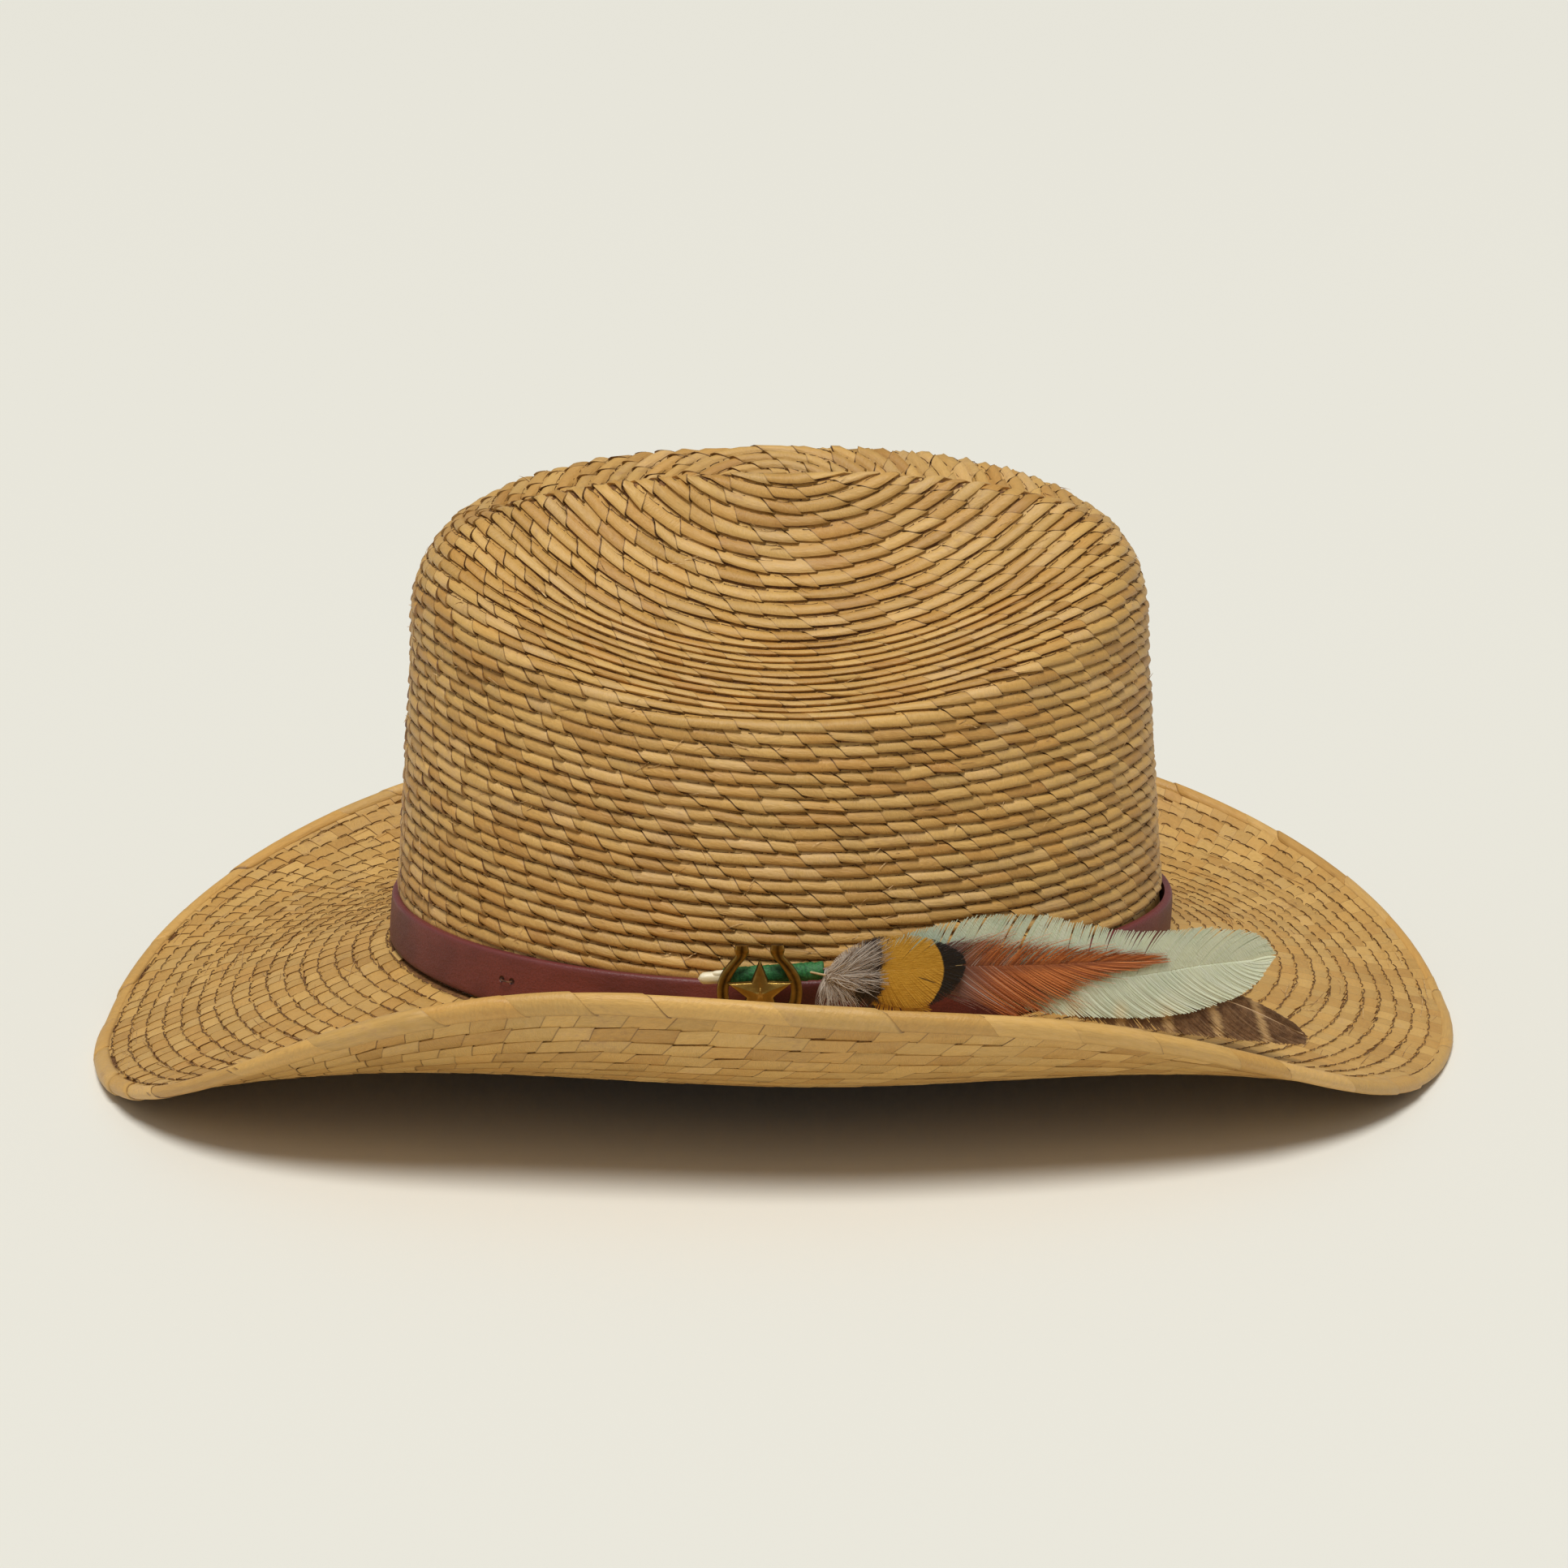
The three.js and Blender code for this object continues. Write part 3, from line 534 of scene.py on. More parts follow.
def crown_run(u, row):
    """Run of a braid row: each spoke of the block is shared out by its true length, wider rows in the dent."""
    u, share = np.broadcast_arrays(u, np.interp(row, share_row, SHARES))
    i = (u % TURN) / TURN * 360
    j = share * 400
    i0, j0 = np.minimum(i.astype(int), 359), np.minimum(j.astype(int), 399)
    fi, fj = i - i0, j - j0
    low = RUN_AT[i0, j0] * (1 - fj) + RUN_AT[i0, j0 + 1] * fj
    high = RUN_AT[i0 + 1, j0] * (1 - fj) + RUN_AT[i0 + 1, j0 + 1] * fj
    return np.minimum(low * (1 - fi) + high * fi, CROWN_RUN - 0.2)


def crown_place(u, row, height):
    """Braid row and height on the crown; the hatband presses the rows under it flat."""
    run = crown_run(u, row)
    pressed = np.clip((run - CROWN_RUN + BAND_TOP) / 3, 0, 1)
    return on_crown(u, run, np.where(height > 0, height * (1 - 0.84 * pressed), height))


def crown_inside(u, row, height):
    """The same rows seen from inside: height is counted inwards."""
    return on_crown(u, crown_run(u, row), -CROWN_LINING - height)


print("row width at the ends and the side", [round(float(line[-1]) / CROWN_ROWS, 2) for line in lengths[[0, 90]]])

# %% Crown strands
ROLL = [(-0.14, -0.2), (-0.04, 0.02), (0.17, 0.2), (0.27, 0.6), (0.44, 0.9),
        (0.66, 1.06), (0.85, 1.06), (0.96, 0.76), (0.86, -0.25)]


def crown_strand_size(turn):
    """Strand length in millimetres: shorter near the middle of the tip."""
    return np.clip(2.2 + 0.9 * turn, 2.5, 8.6)


outside = lay_strands(crown_place, (1.0, CROWN_ROWS), crown_strand_size, 0.34, 0.5, ROLL, 0.3, 11, 0.06,
                      jog=0.16, pieces=3)
strand_points = outside["points"].shape[1] * outside["points"].shape[2]
cuts = [int(len(outside["points"]) * share) for share in (0, 0.32, 0.66, 1)]
for name, first, stop in zip(("crown_tip_braid", "crown_shoulder_braid", "crown_side_braid"), cuts, cuts[1:]):
    low, high = first * strand_points, stop * strand_points
    part = {key: outside[key][first:stop] for key in ("points", "layout", "lot")}
    part["faces"] = [f[(f[:, 0] >= low) & (f[:, 0] < high)] - low for f in outside["faces"]]
    lay_piece(name, part, crown_straw, "crown_straw")
INNER_ROLL = [(-0.08, -0.2), (0.1, 0.22), (0.5, 0.4), (0.85, 0.2), (0.9, -0.2)]
inside = lay_strands(crown_inside, (1.0, CROWN_ROWS), crown_strand_size, 0.3, -0.36, INNER_ROLL, 0.1, 12, flip=True)
lay_piece("crown_inner_braid", inside, under_straw, "crown_straw")


# %% Crown foundation
def wall(place_out, place_in, across, around):
    """A closed shell: the outer face from its middle to its rim, and the inner face back again."""
    out = place_out(np.arange(around)[:, None] * TURN / around, across[None, :])
    inn = place_in(np.arange(around)[:, None] * TURN / around, across[None, ::-1])
    return np.concatenate([out, inn], 1)


AROUND = 208
shadow = Finish("braid_shadow")
bx, by, bz = shadow.place()
speckle = shadow.noise([bx, by, bz], 0.6, 3, 0.7)
shadow_tone = shadow.mix(speckle.step(0.35, 0.7), tint(96, 60, 26), tint(142, 98, 50))
braid_shadow = shadow.surface(shadow_tone, 0.8, speckle, 0.0003)
runs = CROWN_RUN * np.linspace(0, 1, 96) ** 0.9
shell = wall(lambda u, v: on_crown(u, v, -0.12), lambda u, v: on_crown(u, v, -1.8), runs[1:], AROUND)
across = shell.shape[1]
poles = np.stack([on_crown(0.0, 0.0, -0.12), on_crown(0.0, 0.0, -1.8)])
columns = np.arange(AROUND)
following = (columns + 1) % AROUND
top_fan = np.stack([np.full(AROUND, AROUND * across), columns * across, following * across], -1)
rim = across - 1
low_fan = np.stack([np.full(AROUND, AROUND * across + 1), following * across + rim, columns * across + rim], -1)
shell_faces = [ring_faces(AROUND, across, closed_across=False), top_fan, low_fan]
make_piece("crown_foundation", np.concatenate([shell.reshape(-1, 3), poles]), shell_faces, "hat", braid_shadow,
           "crown_straw", ["crown"])

# %% [markdown]
# ## Brim
# The same braid carries on outwards over the brim, pressed flat. On top its strand ends show as short square
# checks; underneath, the strands are longer and lean more. A thin foundation closes the gaps between them.

# %% Rows of the brim
BRIM_ROWS, BRIM_START, BRIM_STOP = 17, 0.4, 2.9


def brim_run(u, row):
    """Run of a braid row: the same number of rows all round, so they are wider where the brim is."""
    share = np.clip(row / BRIM_ROWS, 0, 1)
    return BRIM_START + share * (brim_width(u) - BRIM_STOP - BRIM_START)


def brim_top(u, row, height):
    """Braid row and height on the upper face."""
    return on_brim(u, brim_run(u, row), height)


def brim_under(u, row, height):
    """The same from below: height is counted downwards from the lower face."""
    return on_brim(u, brim_run(u, row), -BRIM_LINING - height)


FLAT = [(-0.1, -0.15), (0.0, 0.24), (0.3, 0.4), (0.7, 0.44), (0.96, 0.34), (0.99, -0.2)]
UNDER = [(-0.1, -0.15), (0.0, 0.24), (0.5, 0.34), (0.96, 0.3), (0.995, -0.15)]
in_brim = lambda theta, row: (row > -0.6) & (row < BRIM_ROWS + 0.6)
TOP_STRAND, UNDER_STRAND = 6.2, 9.2
upper = lay_strands(brim_top, (-1, BRIM_ROWS), lambda n: TOP_STRAND + 0 * n, 0.25, 0.3, FLAT, 0.16, 21, 0.06,
                    keep=in_brim)
lay_piece("brim_top_braid", upper, brim_straw, "brim_straw")
lower = lay_strands(brim_under, (-1, BRIM_ROWS), lambda n: UNDER_STRAND + 0 * n, 0.25, 0.58, UNDER, 0.1, 22, 0.06,
                    True, in_brim)
lay_piece("brim_under_braid", lower, under_straw, "brim_straw")

# %% Brim foundation
shares = np.linspace(0, BRIM_ROWS, 56)
sheet = wall(lambda u, r: brim_top(u, r, -0.1), lambda u, r: brim_under(u, r, -0.1), shares, AROUND)
make_piece("brim_foundation", sheet, [ring_faces(AROUND, sheet.shape[1])], "hat", braid_shadow, "brim_straw",
           ["brim"])

# %% [markdown]
# ## Brim edge
# The last row is folded over a steel wire that holds the roll of the brim. The fold is longer strands laid
# round the rim, each lapping the next, so the edge is gently uneven instead of a perfect tube.

# %% Folded edge
EDGE_COUNT = 46
edge_rng = np.random.default_rng(31)
EDGE_SECTION = np.array([(-4.1, 0.1), (-3.7, 0.6), (-2.9, 0.9), (-1.6, 0.9), (-0.6, 0.45), (-0.05, -0.35),
                         (0.05, -1.1), (-0.15, -1.95), (-0.8, -2.6), (-1.9, -2.95),
                         (-3.3, -2.95), (-4.6, -2.7), (-5.2, -2.2)])


def edge_strands():
    """Overlapping strands round the rim: the section's (out, up) points, swollen a little for each strand.

    No point goes below the table, on which the rim stands.
    """
    starts = np.arange(EDGE_COUNT) + edge_rng.uniform(-0.4, 0.4, EDGE_COUNT)
    s = np.array([0, 0.03, 0.2, 0.4, 0.6, 0.8, 0.97, 1.0])
    taper = np.array([0.0, 1, 1, 1, 1, 1, 1, 0.0])
    reach = np.append(starts[1:], starts[0] + EDGE_COUNT) - starts + 0.12
    inner = (EDGE_SECTION * [0.97, 1] + [-0.1, 1])[::-1] * [1, 0.72] - [0, 1]
    loops = np.concatenate([EDGE_SECTION, inner])
    cross = np.linspace(0, 1, len(EDGE_SECTION))
    slant = 0.5 * (cross - 0.5)
    slant = np.concatenate([slant, slant[::-1]])
    theta = (starts[:, None, None] + s[None, :, None] * reach[:, None, None] + slant) * TURN / EDGE_COUNT
    out, up = loops.T
    swell = edge_rng.normal(0, 0.16, (EDGE_COUNT, 1, 1)) + 0.22 * (s[None, :, None] - 0.5)
    skin = (np.arange(len(loops)) < len(EDGE_SECTION))[None, None, :]
    grow = np.where(skin, swell * taper[None, :, None] - 0.25 * (1 - taper[None, :, None]), 0)
    middle = np.array([-2.4, -1.0])
    away = loops - middle
    away = away / np.linalg.norm(away, axis=1, keepdims=True)
    o = out + away[:, 0] * grow
    h = up + away[:, 1] * grow
    points = on_brim(theta, brim_width(theta) + o, h)
    points[..., 2] = np.maximum(points[..., 2], 0)
    return points, s, cross


def tube_quads(rings, around):
    """Quads between neighbouring rings of a tube, ring after ring."""
    i, j = np.meshgrid(np.arange(rings - 1), np.arange(around), indexing="ij")
    l = (j + 1) % around
    return np.stack([i * around + j, i * around + l, (i + 1) * around + l, (i + 1) * around + j], -1).reshape(-1, 4)


def for_each(faces, count, points):
    """The same faces for each of count copies that have so many points each."""
    return (np.arange(count)[:, None, None] * points + faces).reshape(-1, faces.shape[1])


edge_points, edge_s, edge_cross = edge_strands()
n, m, k = edge_points.shape[:3]
half = k // 2
jj = np.arange(half - 1)
cap = np.stack([jj, jj + 1, k - 2 - jj, k - 1 - jj], -1)
caps = np.concatenate([cap, (m - 1) * k + cap[:, ::-1]])
edge_faces = [for_each(tube_quads(m, k)[:, [0, 3, 2, 1]], n, m * k), for_each(caps, n, m * k)]
edge_c = np.concatenate([edge_cross, edge_cross[::-1]])
edge_layout = np.broadcast_to(np.stack(np.broadcast_arrays(edge_s[:, None], edge_c[None, :]), -1), (n, m, k, 2))
edge_lot = np.broadcast_to(edge_rng.random((n, 1, 1, 3)) * [0.6, 1, 1] + [0.3, 0, 0], (n, m, k, 3))
edge_straw = straw("edge_straw", 15, 9, shade=(1.0, 0.98, 0.94), ends=0.5, streaks=2.2)
make_piece("brim_edge_fold", edge_points, edge_faces, "hat", edge_straw, "edge_straw", ["brim_edge"],
           layout=edge_layout, lot=edge_lot)

# %% [markdown]
# ## Stitches and loose fibres
# A thread runs along every row and shows as small brown loops in the groove, and here and there a fibre has
# come away from the leaf. Both are thin three-sided tubes along short paths in the same row coordinates.


# %% Thin tubes
def tubes(paths, radius, sides=3, taper=None):
    """Closed tubes round paths of shape (count, points, 3). Each ring is radius x (cos, sin) on two normals."""
    paths = np.asarray(paths, float)
    n, m = paths.shape[:2]
    tangent = unit(np.gradient(paths, axis=1))
    outward = unit(paths - np.array([0, 0, 60.0]))
    side = unit(np.cross(tangent, outward))
    up = np.cross(side, tangent)
    a = np.arange(sides) * TURN / sides
    size = np.broadcast_to(radius, (n, m)) * (1 if taper is None else taper)
    rings = paths[:, :, None, :] + size[:, :, None, None] * (
        np.cos(a)[:, None] * side[:, :, None, :] + np.sin(a)[:, None] * up[:, :, None, :])
    base = (np.arange(n) * m * sides)[:, None]
    start, stop = np.arange(sides)[::-1], (m - 1) * sides + np.arange(sides)
    return rings, [for_each(tube_quads(m, sides), n, m * sides), np.concatenate([base + start, base + stop])]


def thread_finish(name, dark, light, rough=0.75):
    """Thread or fibre: two tones, chosen by a fine noise."""
    f = Finish(name)
    n = f.noise(f.place(), 0.9, 3, 0.7)
    return f.surface(f.mix(n.step(0.35, 0.65), dark, light), rough)


def stitches(place, turns, length, offset, height, bow, seed, keep=None):
    """Loops along the spiral: bowed across the row and raised in the middle, with both ends in the straw."""
    rng = np.random.default_rng(seed)
    angle = np.linspace(turns[0] * TURN, turns[1] * TURN, int((turns[1] - turns[0]) * 120))
    line = place(angle, angle / TURN, np.zeros_like(angle))
    total = np.concatenate([[0], np.cumsum(np.linalg.norm(np.diff(line, axis=0), axis=1))])
    start = np.cumsum(rng.uniform(0.6, 1.4, int(total[-1] / length)) * length)
    start = start[start < total[-1] - length][:, None]
    n = len(start)
    t = np.array([0, 0.12, 0.5, 0.88, 1.0])
    along = start + t * length * rng.uniform(0.7, 1.05, (n, 1))
    theta = np.interp(along, total, angle)
    wave = np.sin(np.pi * t)
    held = np.minimum(wave * 3, 1)
    row = theta / TURN + offset + rng.normal(0, 0.035, (n, 1)) + bow * rng.uniform(0.3, 1.2, (n, 1)) * wave
    up = height * rng.uniform(0.8, 1.2, (n, 1)) * (0.5 + 0.5 * held)
    paths = place(theta, row, up)
    if keep is not None:
        paths = paths[keep(theta, row).all(1)]
    return paths


crown_thread = thread_finish("crown_thread", tint(72, 44, 18), tint(128, 88, 42))
paths = stitches(crown_place, (2, CROWN_ROWS - 3), 3.6, 0.15, 0.3, 0.05, 41)
rings, faces = tubes(paths, np.array([0.2, 0.09, 0.08, 0.09, 0.24]))
make_piece("crown_stitching", rings, faces, "hat", crown_thread, "crown_straw")
paths = stitches(brim_top, (0, BRIM_ROWS), 4.2, 0.0, 0.62, 0.1, 42, in_brim)
rings, faces = tubes(paths, 0.13)
make_piece("brim_stitching", rings, faces, "hat", crown_thread, "brim_straw")


# %% Loose fibres
def fibres(place, turns, count, base_height, seed, longest=6.0):
    """Hairs that leave the row at random: start on the surface, drift along and across, and lift at the tip."""
    rng = np.random.default_rng(seed)
    turn = np.sqrt(rng.uniform(turns[0] ** 2, turns[1] ** 2, (count, 1)))
    t = np.linspace(0, 1, 5)
    reach = rng.uniform(1.5, longest, (count, 1)) * rng.choice([-1, 1], (count, 1))
    bend = rng.normal(0, 0.5, (count, 1))
    theta = turn * TURN + (reach * t) / (26 + 2.2 * turn)
    row = turn + rng.uniform(0, 1, (count, 1)) + rng.normal(0, 0.5, (count, 1)) * t + bend * t**2 * 0.5
    up = base_height + rng.uniform(0.1, 1.1, (count, 1)) * t**1.5
    paths = place(theta, row, up)
    radius = rng.uniform(0.06, 0.14, (count, 1)) * np.array([1, 1, 0.9, 0.7, 0.25])
    return paths, radius


fibre_finish = thread_finish("loose_fibre", tint(150, 108, 56), tint(226, 190, 132), 0.6)
for name, place, turns, count, base_height, slot_name in (
    ("crown_fibres", crown_place, (6, CROWN_ROWS - 5), 520, 0.75, "crown_straw"),
    ("brim_fibres", brim_top, (1, BRIM_ROWS - 1), 300, 0.4, "brim_straw"),
):
    paths, radius = fibres(place, turns, count, base_height, 51)
    rings, faces = tubes(paths, radius)
    make_piece(name, rings, faces, "hat", fibre_finish, slot_name)

# %% [markdown]
# ## Hatband
# A strap of oxblood leather two millimetres thick goes round the crown. Its shape is a section carried round
# the block's surface, with slightly crowned face and burnished edges, and it stands off the crown near the
# back. The colour is a dull red brown with a purple bloom along the burnished upper edge.

# %% Hatband
BAND_WIDTH, BAND_START, BAND_LIFT, BAND_AROUND = 13.6, 0.6, 1.8, 416
TACK_ANGLES, TACK_HEIGHT, TACK_SPREAD = (226, 314, 46, 134), 7.4, 0.017


def on_band(u, rise, height):
    """Strap point a distance above the brim line, standing off the crown near the back left."""
    back = np.arctan2(np.sin(u + 0.3), np.cos(u + 0.3))
    off = BAND_LIFT * np.exp(-((back / 0.3) ** 2)) * np.clip(rise / 12, 0, 1)
    return on_crown(u, CROWN_RUN - rise, height + off)


BAND_SECTION = [(0.0, 0.3), (0.0, 1.3), (0.08, 1.75), (0.3, 2.05), (0.7, 2.2), (1.6, 2.27), (3.4, 2.3), (6.8, 2.32),
                (10.2, 2.3), (12.2, 2.26), (12.9, 2.18), (13.3, 2.02), (13.52, 1.75), (13.6, 1.3), (13.6, 0.3)]
rise, thick = np.array(BAND_SECTION).T
angles = np.arange(BAND_AROUND)[:, None] * TURN / BAND_AROUND
strap = on_band(angles, BAND_START + rise[None, :], thick[None, :])
leather = Finish("oxblood_leather")
s, c = leather.layout()
x, y, z = leather.place()
pores = leather.noise([x, y, z], 1.9, 3, 0.65)
creases = leather.noise([x * 0.8, y * 0.8, z * 2.0], 0.25, 4, 0.6)
patina = leather.noise([x, y, z], 0.05, 2, 0.5)
face = leather.mix(patina.step(0.35, 0.7), tint(96, 38, 30), tint(118, 50, 39))
face = leather.mix(pores.step(0.42, 0.7) * 0.35, face, tint(76, 30, 26))
bloom = c.step(0.9, 0.985)
face = leather.mix(bloom * 0.6, face, tint(114, 56, 58))
face = leather.mix((0.1 - c).step(0, 0.08) * 0.5, face, tint(86, 38, 40))
marks = None
for degrees in TACK_ANGLES:
    for side in (-1, 1):
        hole = on_band(math.radians(degrees) + side * TACK_SPREAD, TACK_HEIGHT, 2.3)
        reach = leather.node("VectorMath", {"operation": "DISTANCE"}, {
            0: leather.node("CombineXYZ", {}, dict(enumerate([x, y, z]))), 1: tuple(hole.tolist())}, 1)
        spot = 1 - reach.step(0.45, 1.0)
        marks = spot if marks is None else marks.math("MAXIMUM", marks, spot)
face = leather.mix(marks * 0.85, face, tint(38, 16, 12))
oxblood = leather.surface(face, 0.44 + pores * 0.16 - bloom * 0.08, pores * 0.6 + creases - marks * 2.0, 0.00022)
layout = np.stack(np.broadcast_arrays(angles / TURN, (rise / BAND_WIDTH)[None, :]), -1)
make_piece("leather_hatband", strap, [ring_faces(BAND_AROUND, len(rise), flip=True)], "hat", oxblood, "band_leather",
           ["hatband"], 35, layout)

# %% [markdown]
# ## Sweatband
# Inside, a strip of brown leather is turned up round a thin plastic reed and stitched to the braid just
# above the brim line. It is the same kind of section carried round the inside of the block. The wearer's side
# is smooth sheepskin, so its finish is soft and a little shiny.

# %% Sweatband and reed
SWEAT_WIDTH, SWEAT_THICK, SWEAT_BULGE, REED_R = 34, 0.8, 2.6, 0.8
SWEAT_AROUND, REED_SIDES = 312, 10
PIN_X = -9.8


def on_inside(u, rise, height):
    """Point inside the crown a distance above the brim line, bulged inwards over the pin's clutch."""
    arc = HEAD_A * (u + math.pi / 2 + math.atan2(-PIN_X, HEAD_B) * 0.82)
    grow = np.clip((rise - 2.6) / 3, 0, 1) * np.clip((26 - rise) / 10, 0, 1)
    return on_crown(u, CROWN_RUN - rise, height - SWEAT_BULGE * np.exp(-((arc / 11) ** 2)) * grow)


hook, skin_r, reed_at = REED_R + GAP, REED_R + GAP + SWEAT_THICK, (1.9, -4.4)
bend = np.radians(np.linspace(-90, 90, 9))
inner_curl = np.stack([reed_at[0] - hook * np.cos(bend), reed_at[1] - hook * np.sin(bend)], -1)
outer_curl = np.stack([reed_at[0] - skin_r * np.cos(bend), reed_at[1] - skin_r * np.sin(bend)], -1)[::-1]
rises = np.linspace(5, SWEAT_WIDTH, 18)
face_in = np.stack([rises, np.interp(rises, [3.3, 12, SWEAT_WIDTH], [-5.5, -5.7, -6.6])], -1)
face_out = face_in[::-1] - [0, SWEAT_THICK]
lip = [(3.3, reed_at[1] + skin_r), (3.3, reed_at[1] + hook)]
section = np.concatenate([lip, inner_curl, face_in, face_out, outer_curl])
rise, height = section.T
angles = np.arange(SWEAT_AROUND)[:, None] * TURN / SWEAT_AROUND
strip = on_inside(angles, rise[None, :], height[None, :])
hide = Finish("sweat_leather")
x, y, z = hide.place()
grain = hide.noise([x, y, z], 1.4, 4, 0.65)
worn = hide.noise([x, y, z], 0.06, 3, 0.6)
tone = hide.mix(worn.step(0.3, 0.7), tint(92, 60, 38), tint(128, 88, 58))
tone = hide.mix(grain.step(0.5, 0.75) * 0.3, tone, tint(70, 44, 28))
sweat_leather = hide.surface(tone, 0.48 + grain * 0.15, grain, 0.0002)
make_piece("leather_sweatband", strip, [ring_faces(SWEAT_AROUND, len(section))], "hat", sweat_leather,
           "sweat_leather", ["sweatband"], 60)
a = np.arange(REED_SIDES) * TURN / REED_SIDES
reed = on_inside(angles, reed_at[0] - REED_R * np.cos(a)[None, :], reed_at[1] + REED_R * np.sin(a)[None, :])
plastic = Finish("reed_plastic")
streak = plastic.noise(plastic.place(), 0.3, 2)
reed_plastic = plastic.surface(plastic.mix(streak, tint(206, 196, 160), tint(222, 214, 184)), 0.35, streak, 0.0001)
make_piece("reed_tube", reed, [ring_faces(SWEAT_AROUND, REED_SIDES)], "hat", reed_plastic, "reed_plastic",
           ["sweatband_reed"], 60)

# %% [markdown]
# ## Small metal and thread that keep their CAD shape
# The steel wire and its ferrule lie inside the fold, and the four thread tacks, the ribbon bow, the pin's
# post and its clutch are already the right shape. They only need a finish of their own.


# %% Metal finish
def metal(name, dark, light, rough, scale=0.5, patches=(0.4, 0.62), grit=0.0001):
    """Worn metal: two tones in soft patches, a fine scratch noise in roughness and relief."""
    f = Finish(name)
    x, y, z = f.place()
    patch = f.noise([x, y, z], scale, 4, 0.6)
    scratch = f.noise([x * 0.6, y, z * 2.5], 3.0, 3, 0.7)
    colour = f.mix(patch.step(*patches), dark, light)
    return f.surface(colour, rough + scratch * 0.2, scratch + patch, grit, Metallic=1.0)


steel = metal("wire_steel", tint(120, 122, 124), tint(170, 172, 172), 0.3)
old_brass = metal("clutch_brass", tint(120, 92, 42), tint(182, 148, 84), 0.28)
tack_thread = thread_finish("tack_thread", tint(72, 42, 26), tint(124, 86, 58))
bow_ribbon = thread_finish("bow_ribbon", tint(26, 20, 18), tint(48, 38, 34), 0.5)
kept = {"brim_wire": steel, "wire_ferrule": steel, "pin_post": old_brass, "pin_clutch": old_brass,
        "sweatband_bow": bow_ribbon, **{f"hatband_tack_{i}": tack_thread for i in (1, 2, 3, 4)}}
for node, finish in kept.items():
    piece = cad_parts[node]
    piece.data.materials.clear()
    piece.data.materials.append(finish)
print("finished", len(kept), "of", len(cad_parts), "nodes as they are")

# %% [markdown]
# ## Horseshoe pin
# A cast brass horseshoe with a domed face and nail holes, and a plain five-pointed star soldered across it.
# The shoe is a section carried along its own bow from heel to heel; the star is a ring of ten points raised to
# a ridge. The brass is brown in the hollows and bright where sleeves rub it, which a wear map on the mesh gives.


# %% Smooth curves through points
def through(points, count, closed=False):
    """Catmull-Rom curve: between points 1 and 2 the cubic set by points 0 to 3, at evenly spaced parameters."""
    p = np.asarray(points, float)
    n = len(p)
    t = np.linspace(0, n if closed else n - 1, count, endpoint=not closed)
    i = np.minimum(t.astype(int), n - 1 if closed else n - 2)
    f = (t - i)[:, None]
    if closed:
        a, b, c, d = (p[(i + k) % n] for k in (-1, 0, 1, 2))
    else:
        q = np.concatenate([[2 * p[0] - p[1]], p, [2 * p[-1] - p[-2]]])
        a, b, c, d = (q[i + k] for k in (0, 1, 2, 3))
    return 0.5 * (2 * b + (c - a) * f + (2 * a - 5 * b + 4 * c - d) * f**2 + (3 * b - a - 3 * c + d) * f**3)


# %% Brass finish with wear
PIN_Z, PIN_Y, PIN_THICK, STAR_R = 36.5, -92.1, 1.5, 8.2
brass = Finish("pin_brass")
wear, _ = brass.layout()
x, y, z = brass.place()
cloud = brass.noise([x, y, z], 0.45, 4, 0.65)
scratch = brass.noise([x * 3, y, z], 2.0, 3, 0.7)
tone = brass.mix((wear * 0.75 + cloud * 0.5).step(0.3, 0.95), tint(62, 44, 18), tint(156, 124, 60))
tone = brass.mix((wear + cloud * 0.4).step(1.05, 1.35) * 0.7, tone, tint(224, 188, 112))
pin_brass = brass.surface(tone, 0.42 - wear * 0.12 + scratch * 0.12, cloud + scratch * 0.4, 0.00012, Metallic=1.0)

# %% Horseshoe
SHOE_OUTER = [(0, -10.4), (4, -9.6), (7.6, -7.1), (9.9, -3.3), (10.4, 0.6), (9.6, 4.2), (7.6, 7.2), (5.9, 9.2),
              (6.1, 10.6), (5.8, 12)]
SHOE_INNER = [(0, -6.3), (2.4, -6.2), (5, -5.3), (7, -2.8), (7.6, 0.4), (7, 3.4), (5.4, 6.2), (3.6, 8.4),
              (2.6, 10.2), (2.9, 12)]


def both_sides(half):
    """A half outline from the bow to one heel, mirrored to run from heel to heel."""
    curve = through(half, 34)
    return np.concatenate([(curve * [-1, 1])[:0:-1], curve])


outer, inner = both_sides(SHOE_OUTER), both_sides(SHOE_INNER)
w = np.array([0, 0.0, 0.04, 0.14, 0.3, 0.42, 0.5, 0.58, 0.7, 0.86, 0.96, 1.0, 1.0])
dome = np.array([0, 0.7, 0.86, 1.0, 1.06, 1.0, 0.98, 1.0, 1.06, 1.0, 0.86, 0.7, 0]) * PIN_THICK
flat = outer[:, None] + (inner - outer)[:, None] * w[None, :, None]
heel = np.clip((np.abs(np.linspace(-1, 1, len(outer))) - 0.86) / 0.04, 0, 1)[:, None]
front = dome[None, :] * (1 + 0.35 * heel)
shoe = np.stack([flat[..., 0] + PIN_X, PIN_Y - front, flat[..., 1] + PIN_Z], -1)
n, k = shoe.shape[:2]
caps = np.stack([np.arange(k)[::-1], (n - 1) * k + np.arange(k)])
rub = np.broadcast_to(np.array([0.1, 0.75, 1, 0.8, 0.6, 0.35, 0.2, 0.35, 0.6, 0.8, 1, 0.75, 0.1])[None, :], (n, k))
wear_map = np.stack([rub, rub], -1)
horseshoe = make_piece("brass_horseshoe", shoe, [tube_quads(n, k), caps], "trim", pin_brass, "pin_brass",
                       ["pin_horseshoe"], 60, wear_map)

